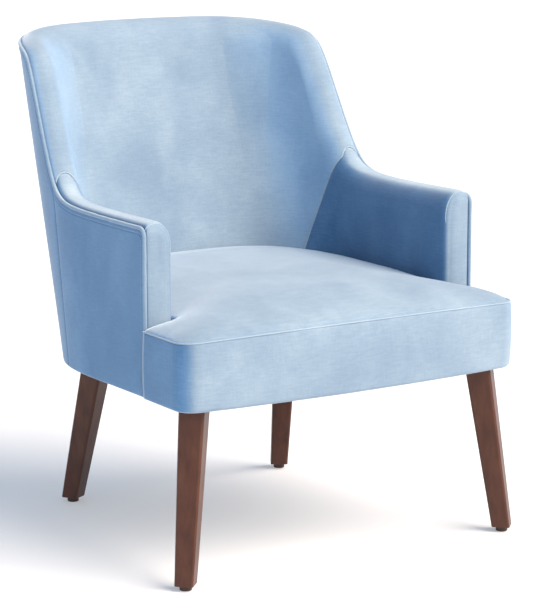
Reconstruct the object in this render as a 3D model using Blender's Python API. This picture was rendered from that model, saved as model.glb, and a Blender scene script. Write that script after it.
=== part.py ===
"""Upholstered armchair with a curved, leaning back and four splayed tapered legs.

Metres, +Z up. The chair faces -Y and the origin is on the floor, under the middle of
its overall box. Left and right are those of the person sitting in it: left is +X.

The arms and the back are one curved wall. Its outer face is a plan outline that grows
backwards with height. A place in the wall is given by u, from the front of an arm (0)
to the middle of the back (1), by its height and by its depth in from the outer face.
"""

import math

import bmesh
import bpy
from mathutils import Matrix, Vector

for leftover in list(bpy.data.objects):
    bpy.data.objects.remove(leftover, do_unlink=True)

# Overall sizes
WIDTH = 0.652  # across the front of the seat
DEPTH = 0.768  # front of the seat to the rear of the top edge
HEIGHT = 0.834  # floor to the crest of the back
LEG_HEIGHT = 0.290  # floor to the underside of the body

# Seat
SEAT_BORDER = 0.111  # height of the front border, up to the seam of the top panel
SEAT_CROWN = 0.038
SEAT_CORNER = 0.035  # radius of the front corners in plan
SEAT_BOW = 0.014  # how far the middle of the front stands out
SEAT_OVERHANG = 0.146  # front of the seat to the front of the arms
SEAT_FOAM_SIDE = 0.009  # foam below the seam

# Wall of arms and back
WALL = 0.056  # outer face to inner face
ARM_RISE = 0.164  # seat seam to the welt at the front of an arm
ARM_DROP = 0.028  # fall of the arm per metre towards the back
ARM_INSET = 0.0025  # arm front, in from the side of the seat
ARM_LENGTH = 0.178  # straight part, up to where the plan starts to turn
ARM_FRONT_ROUND = 0.014  # radius of the welt's top front corner
ARM_BACK_INSET = 0.300  # from the rear of the top edge to where the arm's line meets the side edge
SIDE_TAPER = 0.023  # inward slope of the sides, per metre of height
REAR_LEAN = 0.184  # how far the rear face goes back between its foot and its top
REAR_BULGE = 0.078  # share of the back's lean that comes early
CORNER_POWER = 2.65  # squareness of the plan's rear corners at the underside
CORNER_POWER_TOP = 3.60  # and at the top
EDGE_RISE = 2.13  # steepness of the back's side edge
SWOOP = 0.039  # softness of the curve from arm to back
SHOULDER = 0.021  # softness of the back's top corners
TOP_SLOPE = 0.088  # fall of the back's top edge towards the front

# Padding and covers
CROWN = 0.010  # rise of the padding above the welt
CREST_DEPTH = 0.026  # depth at which the padding is highest
ROLL_DROP = 0.030  # fall from the welt's height to the inner face
COVER = 0.0016  # thickness of a fabric cover
OUTER_COVER = 0.0024  # fabric on card
WELT_RADIUS = 0.0034
TUCK = 0.015  # how far the inner covers go down past the seat's seam
FRONT_PAD = 0.012  # padding on the front of an arm
BORDER_PAD = 0.0035
SEAM_U = 0.447  # seam between arm and back, at the welt
SEAM_FOOT_U = 0.62  # the inner one leans back to here at the seat
SEAM = 0.0015  # each cover stops this far short of a seam, as a share of u
ARM_FRONT_EASE = 0.007  # rounding of the arm front's edges

# Frame
BOARD = 0.022
WELT_TO_BOARD = 0.0007
RAIL_BASE = 0.0025  # frame above the underside of the body
RAIL_SPACE = 0.031  # from the top of the seat rails up to the seat's seam
TOP_BOARD = 0.046  # height of the arm rails and the top rail
BOARD_DROP = 0.0145  # top of those rails, under the welt
POST_WIDTH = 0.044
POST_START_U = 0.455  # back post, along the wall
POST_END_U = 0.552
BLOCK_START_U = 0.555  # rear corner block
BLOCK_END_U = 0.785
BLOCK_DEPTH = 0.060
JOINT_U = 0.001  # between neighbouring boards, as a share of u
FRONT_BLOCK = 0.070  # sides of the triangular front blocks
FRONT_RAIL_SETBACK = 0.014  # front rail behind the ends of the seat's front
FRONT_RAIL_END = 0.0165  # its ends, in from the sides of the seat
TACK_RAIL_RISE = 0.054  # seat seam to the lower rail of the back
TACK_RAIL_HEIGHT = 0.040

# Springs and webbing
SPRING_COUNT = 4
SPRING_SPACING = 0.1764 * WIDTH
SPRING_WIRE = 0.0018  # radius
SPRING_SWING = 0.0205
SPRING_FLAT = 2.2  # squareness of the zigzag
SPRING_PITCH = 0.044
SPRING_ARCH = 0.010
STRAP_THICKNESS = 0.0016
STRAP_SPACING_U = 0.155
STRAP_WIDTH_U = 0.050

# Legs
LEG_TOP = 0.043  # side of the square
LEG_FOOT = 0.031
LEG_CHAMFER = 0.0035
FRONT_LEG_INSET, FRONT_LEG_SETBACK = 0.046, 0.061  # top of the leg, from the seat's side and front
FRONT_LEG_SPLAY = (0.034, -0.027)
FRONT_LEG_TURN = 45.0
REAR_LEG_U, REAR_LEG_DEPTH = 0.6795, 0.0270  # top of the leg, in the wall
REAR_LEG_SPLAY = (0.0245, 0.0625)
REAR_LEG_TURN = 60.0
PLATE = LEG_TOP - 0.007
LEG_TO_CLOTH = 0.041  # from a leg's middle to the cut in the dust cover
BOLT_RADIUS = 0.004
BOLT_IN_LEG = 0.040
BOLT_IN_BLOCK = 0.060
GLIDE_HEIGHT = 0.008
GLIDE_RADIUS = 0.010
GLIDE_NECK = 0.0075
NAIL_RADIUS = 0.0016
NAIL_LENGTH = 0.015

GAP = 0.0003  # between touching pieces
SLACK = 0.0008  # between soft layers
LOOSE = 0.0036  # between a cover and its foam
CLOTH_INSET = 0.010  # dust cover, in from the edges of the body

SEAT_SEAM_Z = LEG_HEIGHT + SEAT_BORDER
SEAT_FOAM_BASE = SEAT_SEAM_Z - SEAT_FOAM_SIDE
ARM_HEIGHT = SEAT_SEAM_Z + ARM_RISE
TUCK_Z = SEAT_SEAM_Z - TUCK
TACK_RAIL_Z = SEAT_SEAM_Z + TACK_RAIL_RISE
FRONT_Y = -DEPTH / 2
REAR_TOP_Y = DEPTH / 2
REAR_FOOT_Y = REAR_TOP_Y - REAR_LEAN
ARM_BACK_Y = REAR_TOP_Y - ARM_BACK_INSET
FRONT_LEG_X = WIDTH / 2 - FRONT_LEG_INSET
ARM_FRONT_X = WIDTH / 2 - ARM_INSET
ARM_FRONT_Y = FRONT_Y + SEAT_OVERHANG
CORNER_Y = ARM_FRONT_Y + ARM_LENGTH
TOP_Z = HEIGHT - CROWN
ARM_SHARE = 0.24  # the straight part's share of u
RAIL_Z = LEG_HEIGHT + RAIL_BASE
RAIL_TOP_Z = SEAT_SEAM_Z - RAIL_SPACE + RAIL_BASE
WELT_DEPTH = WELT_RADIUS
BOARD_DEPTH = 2 * WELT_RADIUS + WELT_TO_BOARD
ROLL_START = WELT_DEPTH + WELT_RADIUS + GAP
FOAM_DEPTH = BOARD_DEPTH + BOARD + STRAP_THICKNESS + 2 * SLACK
LEG_TOP_Z = LEG_HEIGHT - GAP
PLATE_Z = LEG_TOP_Z + GAP

FINISHES = {  # colour, roughness, metallic
    "velvet": ((0.38, 0.53, 0.67), 0.85, 0.0),
    "foam": ((0.82, 0.78, 0.62), 0.95, 0.0),
    "beech": ((0.62, 0.45, 0.28), 0.7, 0.0),
    "walnut": ((0.085, 0.034, 0.02), 0.35, 0.0),
    "steel": ((0.35, 0.35, 0.36), 0.4, 1.0),
    "webbing": ((0.45, 0.36, 0.22), 0.9, 0.0),
    "cambric": ((0.02, 0.02, 0.022), 0.95, 0.0),
    "plastic": ((0.05, 0.025, 0.018), 0.5, 0.0),
}


# Wall geometry


def climb(z):
    """Share of the way up the wall."""
    return (z - LEG_HEIGHT) / (TOP_Z - LEG_HEIGHT)


def rear_y(z):
    """Rear face of the wall at height z."""
    s = climb(z)
    return REAR_FOOT_Y + (REAR_TOP_Y - REAR_FOOT_Y) * s * (1 + REAR_BULGE * (1 - s))


def plan_point(u, z):
    """Outer face of the wall, left side. Below u = 0 the line runs on forwards."""
    half = WIDTH / 2 - SIDE_TAPER * (z - LEG_HEIGHT)
    if u < ARM_SHARE:
        s = u / ARM_SHARE
        return ARM_FRONT_X + (half - ARM_FRONT_X) * max(s, 0), ARM_FRONT_Y + ARM_LENGTH * s
    w = (u - ARM_SHARE) / (1 - ARM_SHARE)
    near, far = w**1.8, max(1 - w, 0) ** 1.8
    angle = 0.5 * math.pi * near / (near + far)
    power = 2 / (CORNER_POWER + (CORNER_POWER_TOP - CORNER_POWER) * climb(z))
    x = half * max(math.cos(angle), 0) ** power
    y = CORNER_Y + (rear_y(z) - CORNER_Y) * math.sin(angle) ** power
    return (x if u < 1 else 0.0), y


def wall_point(u, side, depth, z):
    """A point in the wall, depth in from its outer face."""
    x, y = plan_point(u, z)
    before, after = plan_point(u - 0.002, z), plan_point(min(u + 0.002, 1), z)
    along = Vector((after[0] - before[0], after[1] - before[1])).normalized()
    if u >= 1:
        along = Vector((-1, 0))
    return Vector((side * (x - along.y * depth), y + along.x * depth, z))


def u_at(y):
    """u of a place on an arm's straight part."""
    return (y - ARM_FRONT_Y) / ARM_LENGTH * ARM_SHARE


def edge_line(y):
    """Height of the welt, seen from the side, without the arm's rounded front corner."""
    arm = ARM_HEIGHT - ARM_DROP * (y - ARM_FRONT_Y)
    side = ARM_HEIGHT - ARM_DROP * (ARM_BACK_Y - ARM_FRONT_Y) + EDGE_RISE * (y - ARM_BACK_Y)
    top = TOP_Z + TOP_SLOPE * (y - REAR_TOP_Y)
    rising = (arm + side) / 2 + math.hypot((arm - side) / 2, SWOOP)
    return (rising + top) / 2 - math.hypot((rising - top) / 2, SHOULDER)


def edge_z(u):
    """Height of the welt at u."""
    if u <= ARM_SHARE:
        y = plan_point(u, ARM_HEIGHT)[1]
        short = max(ARM_FRONT_ROUND - max(y - ARM_FRONT_Y, 0), 0)
        return edge_line(y) - ARM_FRONT_ROUND + math.sqrt(ARM_FRONT_ROUND**2 - short**2)
    low, high = LEG_HEIGHT, HEIGHT
    for _ in range(40):
        z = (low + high) / 2
        if z < edge_line(plan_point(u, z)[1]):
            low = z
        else:
            high = z
    return z


def edge_stretch(u):
    """Rise at one u that moves a point by a unit across the wall's sloping edge."""
    if u < ARM_SHARE:
        short = max(ARM_FRONT_ROUND - plan_point(max(u, 0), ARM_HEIGHT)[1] + ARM_FRONT_Y, 0)
        return ARM_FRONT_ROUND / math.sqrt(ARM_FRONT_ROUND**2 - 0.97 * short**2)
    before, after = (wall_point(v, 1, 0, edge_z(v)) for v in (u - 0.01, min(u + 0.01, 1)))
    z, step = edge_z(u), 0.01
    rise = (wall_point(u, 1, 0, z + step) - wall_point(u, 1, 0, z - step)) / (2 * step)
    return 1 / rise.cross((after - before).normalized()).length


def stations(first, last):
    """Values of u, closer together at the arm's front corner and where arm becomes back."""
    marks = [first, last]
    marks += [u_at(ARM_FRONT_Y + ARM_FRONT_ROUND * (1 - math.cos(a))) for a in (0.35, 0.8, 1.2, 1.57)]
    marks += [0.06 * k for k in range(1, 7)]
    marks += [0.40 + 0.02 * k for k in range(9)]
    marks += [0.60 + 0.05 * k for k in range(9)]
    kept = []
    for u in sorted(u for u in marks if first <= u <= last):
        if not kept or u - kept[-1] > 0.002:
            kept.append(u)
    kept[-1] = last
    return kept


def one_side(first, last, side):
    return [(u, side) for u in stations(first, last)]


def across_back(first):
    """From u = first on the left, round the back, to the same place on the right."""
    left = one_side(first, 1.0, 1)
    return left + [(u, -1) for u, _ in reversed(left[:-1])]


# Making objects


def finish(name, mesh, kind):
    """An object of its own, with a material of its own."""
    colour, roughness, metallic = FINISHES[kind]
    material = bpy.data.materials.new(f"{name}_{kind}")
    material.use_nodes = True
    shader = material.node_tree.nodes["Principled BSDF"]
    shader.inputs["Base Color"].default_value = (*colour, 1.0)
    shader.inputs["Roughness"].default_value = roughness
    shader.inputs["Metallic"].default_value = metallic
    mesh.materials.append(material)
    made = bpy.data.objects.new(name, mesh)
    bpy.context.scene.collection.objects.link(made)
    return made


def from_bmesh(name, bm, kind):
    bmesh.ops.recalc_face_normals(bm, faces=bm.faces)
    mesh = bpy.data.meshes.new(name)
    bm.to_mesh(mesh)
    bm.free()
    return finish(name, mesh, kind)


def loft(name, rings, kind, ladder=False, closed=False):
    """Skin through rings of points. A ladder's ends are capped rung by rung."""
    bm = bmesh.new()
    rows = [[bm.verts.new(p) for p in ring] for ring in rings]
    count = len(rows[0])
    pairs = list(zip(rows, rows[1:]))
    if closed:
        pairs.append((rows[-1], rows[0]))
    for a, b in pairs:
        for i in range(count):
            j = (i + 1) % count
            bm.faces.new((a[i], a[j], b[j], b[i]))
    if not closed:
        for row in (rows[0], rows[-1]):
            if not ladder:
                bm.faces.new(row)
                continue
            for i in range(count // 2 - 1):
                bm.faces.new((row[i], row[i + 1], row[-i - 2], row[-i - 1]))
    return from_bmesh(name, bm, kind)


def wall_piece(name, path, outer, inner, kind):
    """Solid between two contours; each gives (depth, z) points for a u."""
    rings = []
    for u, side in path:
        contour = outer(u) + inner(u)[::-1]
        rings.append([wall_point(u, side, depth, z) for depth, z in contour])
    return loft(name, rings, kind, ladder=True)


def upright(depth, low, high, rows=3):
    """Contour at one depth, between two heights that may depend on u."""

    def contour(u):
        a = low(u) if callable(low) else low
        b = high(u) if callable(high) else high
        return [(depth, b + (a - b) * k / rows) for k in range(rows + 1)]

    return contour


def band(name, path, depths, low, high, kind, rows=3):
    near, far = depths
    return wall_piece(name, path, upright(near, low, high, rows), upright(far, low, high, rows), kind)


def under_edge(drop):
    """Height a given width below the welt."""
    return lambda u: edge_z(u) - drop * edge_stretch(u)


def slab(name, outline, low, high, kind):
    rings = [[(x, y, z) for x, y in outline] for z in (low, high)]
    return loft(name, rings, kind)


def drill(target, x, y, low, high, radius):
    """Cut an upright round hole."""
    bm = bmesh.new()
    place = Matrix.Translation((x, y, (low + high) / 2))
    bmesh.ops.create_cone(
        bm, cap_ends=True, segments=12, radius1=radius, radius2=radius, depth=high - low, matrix=place
    )
    mesh = bpy.data.meshes.new(f"{target.name}_hole")
    bm.to_mesh(mesh)
    bm.free()
    cutter = bpy.data.objects.new(mesh.name, mesh)
    bpy.context.scene.collection.objects.link(cutter)
    cutter.hide_render = True
    cutter.display_type = "WIRE"
    cut = target.modifiers.new("hole", "BOOLEAN")
    cut.operation = "DIFFERENCE"
    cut.object = cutter


# Padding contours

ROLL_STEPS, ROLL_ROWS = 6, 6  # points over the crest, and down the inner face


def roll(inset, low, steps=ROLL_STEPS, rows=ROLL_ROWS):
    """The padded edge seen end on: from the welt over the crest and down the inner face."""

    def contour(u):
        top, stretch = edge_z(u), edge_stretch(u)
        points = []
        for k in range(steps + 1):
            angle = math.pi * k / steps
            if angle <= math.pi / 2:
                reach = CREST_DEPTH - ROLL_START - inset
                rise = (CROWN - inset) * math.sin(angle)
            else:
                reach = WALL - inset - CREST_DEPTH
                rise = CROWN - inset - (CROWN + ROLL_DROP) * (1 - math.sin(angle))
            points.append((CREST_DEPTH - reach * math.cos(angle), top + rise * stretch))
        last = points[-1][1]
        points += [(WALL - inset, last + (low - last) * k / rows) for k in range(1, rows + 1)]
        return points

    return contour


def slant(u, z):
    """u moved along the wall, so that the inner seam leans back on its way down to the seat."""
    if u < ARM_SHARE:
        return u
    start = edge_z(SEAM_U) - ROLL_DROP * edge_stretch(SEAM_U)
    share = min(max((start - z) / (start - SEAT_SEAM_Z), 0), 1)
    seam = SEAM_U + (SEAM_FOOT_U - SEAM_U) * share
    if u < SEAM_U:
        return ARM_SHARE + (u - ARM_SHARE) * (seam - ARM_SHARE) / (SEAM_U - ARM_SHARE)
    return 1 - (1 - u) * (1 - seam) / (1 - SEAM_U)


def inner_cover(name, path):
    """Fabric over the padding, ending at the slanted seam."""
    rings = []
    for u, side in path:
        contour = roll(0, TUCK_Z)(u) + roll(COVER, TUCK_Z)(u)[::-1]
        rings.append([wall_point(slant(u, z), side, depth, z) for depth, z in contour])
    return loft(name, rings, "velvet", ladder=True)


def round_frame(low, steps=ROLL_STEPS, rows=ROLL_ROWS):
    """Inner side of the foam: over the top of the frame and down its inner face."""

    def contour(u):
        lid = edge_z(u) - (BOARD_DROP - 2 * SLACK) * edge_stretch(u)
        start = ROLL_START + COVER + LOOSE
        half = steps // 2
        points = [(start + (FOAM_DEPTH - start) * k / half, lid) for k in range(half + 1)]
        left = steps + rows - half
        points += [(FOAM_DEPTH, lid + (low - lid) * k / left) for k in range(1, left + 1)]
        return points

    return contour


# Covers


def make_outside_covers():
    top = under_edge(WELT_RADIUS + 2 * SLACK)
    for side, word in ((1, "left"), (-1, "right")):
        path = one_side(u_at(ARM_FRONT_Y + WELT_RADIUS + 2 * SLACK), SEAM_U - SEAM, side)
        band(f"outside_arm_cover_{word}", path, (0, OUTER_COVER), LEG_HEIGHT, top, "velvet")
    band("outside_back_cover", across_back(SEAM_U + SEAM), (0, OUTER_COVER), LEG_HEIGHT, top, "velvet", 4)


def make_inner_covers_and_foam():
    skin = COVER + LOOSE
    pad_end = u_at(ARM_FRONT_Y + FRONT_PAD)
    arm_from = pad_end + u_at(ARM_FRONT_Y + SLACK)
    for side, word in ((1, "left"), (-1, "right")):
        path = one_side(arm_from, SEAM_U - SEAM, side)
        inner_cover(f"inner_arm_cover_{word}", path)
        wall_piece(f"arm_foam_{word}", path, roll(skin, TUCK_Z), round_frame(TUCK_Z), "foam")
    path = across_back(SEAM_U + SEAM)
    inner_cover("inner_back_cover", path)
    wall_piece("back_foam", path, roll(skin, TUCK_Z), round_frame(TUCK_Z), "foam")


def make_arm_fronts():
    """Padded strip that closes the front of each arm, rounded on its inner and top edges."""
    for side, word in ((1, "left"), (-1, "right")):
        rings = []
        for k in range(4):
            angle = math.pi / 2 * k / 3
            y = ARM_FRONT_Y - GAP + FRONT_PAD * k / 3
            inset = ARM_FRONT_EASE * (1 - math.sin(angle))
            contour = roll(inset, TUCK_Z)(u_at(ARM_FRONT_Y + ARM_FRONT_ROUND))
            start = ROLL_START + inset
            points = contour + [(start, TUCK_Z)]
            rings.append([wall_point(u_at(y), side, depth, z) for depth, z in points])
        loft(f"arm_front_cover_{word}", rings, "velvet")


def welt_path():
    """Up the front of one arm, along it, round the back and down the other arm's front."""
    front = wall_point(0, 1, WELT_DEPTH, LEG_HEIGHT)
    lift = edge_z(0.0) - LEG_HEIGHT
    half = [front + Vector((0, 0, lift * k / 3)) for k in range(3)]
    half += [wall_point(u, 1, WELT_DEPTH, edge_z(u)) for u in stations(0.0, 1.0)]
    return half + [Vector((-p.x, p.y, p.z)) for p in reversed(half[:-1])]


def make_welt():
    points = welt_path()
    curve = bpy.data.curves.new("welt_cord", "CURVE")
    curve.dimensions = "3D"
    curve.bevel_depth = WELT_RADIUS
    curve.bevel_resolution = 1
    curve.render_resolution_u = 0
    curve.use_fill_caps = True
    spline = curve.splines.new("POLY")
    spline.points.add(len(points) - 1)
    for knot, point in zip(spline.points, points):
        knot.co = (*point, 1.0)
    finish("welt_cord", curve, "velvet")


# Seat


def seat_outline(inset, front_only=False):
    """Plan of the seat: full width ahead of the arms, then filling the space between them."""
    turn_x = WIDTH / 2 - SEAT_CORNER
    turn_y = FRONT_Y + SEAT_BOW + SEAT_CORNER
    radius = SEAT_CORNER - inset
    half = []
    for k in range(5):
        x = turn_x * k / 5
        half.append((x, FRONT_Y + inset + SEAT_BOW * (x / turn_x) ** 2))
    for k in range(6):
        angle = math.pi / 2 * k / 5
        half.append((turn_x + radius * math.sin(angle), turn_y - radius * math.cos(angle)))
    back_edge = ARM_FRONT_Y - WELT_RADIUS - SLACK
    half.append((WIDTH / 2 - inset, back_edge - (0 if front_only else inset)))
    if not front_only:
        depth = WALL + 2 * SLACK + inset
        half.append((ARM_FRONT_X - depth, back_edge - inset))
        for u in stations(ARM_SHARE / 2, 1.0)[::2]:
            point = wall_point(u, 1, depth, TUCK_Z)
            half.append((point.x, point.y))
        if half[-1][0] < 0.001:
            half.pop()
        half.append((0.0, rear_y(TUCK_Z) - depth))
        return half + [(-x, y) for x, y in reversed(half[1:-1])]
    return [(-x, y) for x, y in reversed(half[1:])] + half


def seat_rings(inset, base):
    """Rings of the crowned seat, from its edge towards its middle."""
    centre = Vector((0, FRONT_Y + 0.85 * SEAT_OVERHANG))
    outline = [Vector(p) for p in seat_outline(inset)]
    rings = [[(p.x, p.y, base) for p in outline]]
    for k in range(6):
        share = math.cos(math.pi / 2 * k / 6)
        rise = SEAT_CROWN * math.sqrt(1 - share**5)
        ring = [centre + (p - centre) * share for p in outline]
        rings.append([(p.x, p.y, SEAT_SEAM_Z - inset + rise) for p in ring])
    return rings


def make_seat():
    outer, under = seat_rings(0.0, SEAT_SEAM_Z), seat_rings(COVER, SEAT_SEAM_Z)
    shell = outer[1:] + under[:0:-1]
    bm = bmesh.new()
    rows = [[bm.verts.new(p) for p in ring] for ring in shell]
    middle = len(outer) - 1
    for n, (a, b) in enumerate(zip(rows, rows[1:])):
        if n == middle - 1:
            continue
        for i in range(len(a)):
            j = (i + 1) % len(a)
            bm.faces.new((a[i], a[j], b[j], b[i]))
    for row in (rows[middle - 1], rows[middle]):
        bm.faces.new(row)
    for i in range(len(rows[0])):
        j = (i + 1) % len(rows[0])
        bm.faces.new((rows[0][i], rows[0][j], rows[-1][j], rows[-1][i]))
    from_bmesh("seat_cover", bm, "velvet")
    loft("seat_foam", seat_rings(COVER + SLACK, SEAT_FOAM_BASE), "foam")


def strip(name, insets, low, high, kind):
    """Upright band round the front of the seat, between two insets from its outline."""
    outer, inner = (seat_outline(inset, front_only=True) for inset in insets)
    rings = []
    for (ax, ay), (bx, by) in zip(outer, inner):
        rings.append([(ax, ay, high), (ax, ay, low), (bx, by, low), (bx, by, high)])
    loft(name, rings, kind)


def make_seat_border():
    strip("seat_border_cover", (0, COVER), LEG_HEIGHT, SEAT_SEAM_Z - COVER - GAP, "velvet")
    pad = COVER + SLACK
    strip("seat_border_padding", (pad, pad + BORDER_PAD), RAIL_Z, SEAT_FOAM_BASE - SLACK, "foam")


# Frame


def front_rail_y():
    return FRONT_Y + SEAT_BOW + FRONT_RAIL_SETBACK


def make_rails():
    depths = (BOARD_DEPTH, BOARD_DEPTH + BOARD)
    end_x = WIDTH / 2 - FRONT_RAIL_END
    front = front_rail_y()
    outline = [(-end_x, front), (end_x, front), (end_x, front + BOARD), (-end_x, front + BOARD)]
    slab("seat_rail_front", outline, RAIL_Z, RAIL_TOP_Z, "beech")
    for side, word in ((1, "left"), (-1, "right")):
        path = one_side(u_at(front + BOARD + GAP), POST_END_U, side)
        band(f"seat_rail_{word}", path, depths, RAIL_Z, RAIL_TOP_Z, "beech", 1)
    path = across_back(BLOCK_END_U + JOINT_U)
    band("seat_rail_back", path, depths, RAIL_Z, RAIL_TOP_Z, "beech", 2)
    band(
        "back_rail_lower",
        across_back(POST_END_U + JOINT_U),
        depths,
        TACK_RAIL_Z,
        TACK_RAIL_Z + TACK_RAIL_HEIGHT,
        "beech",
        1,
    )
    top = under_edge(BOARD_DROP)
    low = under_edge(BOARD_DROP + TOP_BOARD)
    band("top_rail", across_back(POST_END_U + JOINT_U), depths, low, top, "beech", 2)


def make_posts_and_arm_rails():
    depths = (BOARD_DEPTH, BOARD_DEPTH + BOARD)
    start = ARM_FRONT_Y + FRONT_PAD + 2 * SLACK
    top = under_edge(BOARD_DROP)
    low = under_edge(BOARD_DROP + TOP_BOARD)
    for side, word in ((1, "left"), (-1, "right")):
        path = one_side(u_at(start), u_at(start + POST_WIDTH), side)
        band(f"arm_post_{word}", path, depths, RAIL_TOP_Z + GAP, lambda u: low(u) - GAP, "beech", 1)
        path = one_side(u_at(start), POST_START_U - JOINT_U, side)
        band(f"arm_rail_{word}", path, depths, low, top, "beech", 1)
        path = one_side(POST_START_U, POST_END_U - JOINT_U, side)
        band(f"back_post_{word}", path, depths, RAIL_TOP_Z + GAP, top, "beech", 4)


def leg_places():
    """Name, top point and splay of each leg, and its turn."""
    front = (FRONT_LEG_X, FRONT_Y + FRONT_LEG_SETBACK)
    rear = tuple(wall_point(REAR_LEG_U, 1, REAR_LEG_DEPTH, LEG_HEIGHT).xy)
    for side, word in ((1, "left"), (-1, "right")):
        yield f"front_{word}", side, front, FRONT_LEG_SPLAY, FRONT_LEG_TURN
        yield f"rear_{word}", side, rear, REAR_LEG_SPLAY, REAR_LEG_TURN


def make_corner_blocks():
    inner_x = ARM_FRONT_X - BOARD_DEPTH - BOARD - 2 * GAP
    inner_y = front_rail_y() + BOARD + GAP
    for name, side, top, _, _ in leg_places():
        if name.startswith("front"):
            corner = [(inner_x, inner_y), (inner_x, inner_y + FRONT_BLOCK), (inner_x - FRONT_BLOCK, inner_y)]
            outline = [(side * x, y) for x, y in corner]
            block = slab(f"corner_block_{name}", outline, RAIL_Z, RAIL_TOP_Z, "beech")
        else:
            path = one_side(BLOCK_START_U, BLOCK_END_U, side)
            depths = (BOARD_DEPTH, BLOCK_DEPTH)
            block = band(f"corner_block_{name}", path, depths, RAIL_Z, RAIL_TOP_Z, "beech", 2)
        reach = RAIL_Z + BOLT_IN_BLOCK + 2 * GAP
        drill(block, side * top[0], top[1], LEG_HEIGHT - BOARD, reach, BOLT_RADIUS + 2 * GAP)


# Springs, webbing and dust cover


def rear_rail_inner_y(x):
    """Where the inner face of the back rail passes x, at its top."""
    low, high = BLOCK_START_U, 1.0
    for _ in range(30):
        u = (low + high) / 2
        point = wall_point(u, 1, BOARD_DEPTH + BOARD, RAIL_TOP_Z)
        low, high = (u, high) if point.x > abs(x) else (low, u)
    return point.y


def make_springs():
    """Zigzag springs hooked over the front and back rails, arching a little."""
    for n in range(SPRING_COUNT):
        middle = (n - (SPRING_COUNT - 1) / 2) * SPRING_SPACING
        side = math.copysign(1, middle)
        start = front_rail_y() + BOARD / 2
        end = rear_rail_inner_y(middle) + BOARD / 2
        turns = round((end - start) / SPRING_PITCH)
        count = turns * 6
        points = []
        for k in range(count + 1):
            share = k / count
            swing = SPRING_SWING * math.tanh(SPRING_FLAT * math.sin(2 * math.pi * turns * share))
            rise = SPRING_ARCH * 4 * share * (1 - share)
            z = RAIL_TOP_Z + SPRING_WIRE + GAP + rise
            points.append((middle + side * swing, start + (end - start) * share, z, 1.0))
        curve = bpy.data.curves.new(f"seat_spring_{n + 1}", "CURVE")
        curve.dimensions = "3D"
        curve.bevel_depth = SPRING_WIRE
        curve.bevel_resolution = 0
        curve.render_resolution_u = 0
        curve.use_fill_caps = True
        spline = curve.splines.new("POLY")
        spline.points.add(count)
        for knot, point in zip(spline.points, points):
            knot.co = point
        finish(f"seat_spring_{n + 1}", curve, "steel")


def make_webbing():
    """Straps down the inner side of the back's frame."""
    near = BOARD_DEPTH + BOARD + SLACK
    depths = (near, near + STRAP_THICKNESS)
    top = under_edge(BOARD_DROP + TOP_BOARD / 3)
    low = TACK_RAIL_Z + TACK_RAIL_HEIGHT / 3
    half = STRAP_WIDTH_U / 2
    middle = [(1 - half, 1), (1.0, 1), (1 - half, -1)]
    band("back_strap_middle", middle, depths, low, top, "webbing", 6)
    for side, word in ((1, "left"), (-1, "right")):
        centre = 1 - STRAP_SPACING_U
        path = [(centre - half, side), (centre, side), (centre + half, side)]
        band(f"back_strap_{word}", path, depths, low, top, "webbing", 6)


def make_dust_cover():
    """Thin cloth under the frame, cut back at the corners where the legs are."""
    reach = LEG_TO_CLOTH
    _, _, front_leg, _, _ = next(place for place in leg_places() if place[0] == "front_left")
    _, _, rear_leg, _, _ = next(place for place in leg_places() if place[0] == "rear_left")
    front_y = FRONT_Y + SEAT_BOW + CLOTH_INSET
    side_x = ARM_FRONT_X - CLOTH_INSET
    rear_edge = REAR_FOOT_Y - CLOTH_INSET
    side_u = (0.30, 0.42, 0.52)
    half = [(0.0, front_y), (front_leg[0] - reach, front_y)]
    half += [(front_leg[0] - reach, front_leg[1] + reach), (side_x, front_leg[1] + reach)]
    half += [tuple(wall_point(u, 1, CLOTH_INSET, LEG_HEIGHT).xy) for u in side_u]
    half += [(rear_leg[0] + reach * 0.6, rear_leg[1] - reach), (rear_leg[0] - reach, rear_leg[1] - reach)]
    half += [(rear_leg[0] - reach, rear_edge - CLOTH_INSET), (0.0, rear_edge)]
    outline = half + [(-x, y) for x, y in reversed(half[1:-1])]
    low = LEG_HEIGHT
    slab("dust_cover", outline, low, low + RAIL_BASE - SLACK, "cambric")


# Legs


def square(side, chamfer, turn):
    """Square with cut corners, turned in plan."""
    h = side / 2
    c = h - chamfer
    corners = [(h, -c), (h, c), (c, h), (-c, h), (-h, c), (-h, -c), (-c, -h), (c, -h)]
    rotation = Matrix.Rotation(math.radians(turn), 2)
    return [rotation @ Vector(p) for p in corners]


def make_legs():
    for name, side, top, splay, turn in leg_places():
        foot = (top[0] + splay[0], top[1] + splay[1])
        rings = []
        for width, place, z in ((LEG_FOOT, foot, GLIDE_HEIGHT + GAP), (LEG_TOP, top, LEG_TOP_Z)):
            outline = square(width, LEG_CHAMFER * width / LEG_TOP, turn)
            rings.append([(side * (place[0] + p.x), place[1] + p.y, z) for p in outline])
        leg = loft(f"leg_{name}", rings, "walnut")
        x, y = side * top[0], top[1]
        drill(leg, x, y, LEG_TOP_Z - BOLT_IN_LEG - 2 * GAP, LEG_TOP_Z + BOARD, BOLT_RADIUS + 2 * GAP)
        nail_top = GLIDE_HEIGHT + NAIL_LENGTH + 2 * GAP
        drill(leg, side * foot[0], foot[1], 0.0, nail_top, NAIL_RADIUS + 2 * GAP)
        make_glide(f"glide_{name}", side * foot[0], foot[1])
        make_plate_and_bolt(name, x, y, side * turn)


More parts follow.
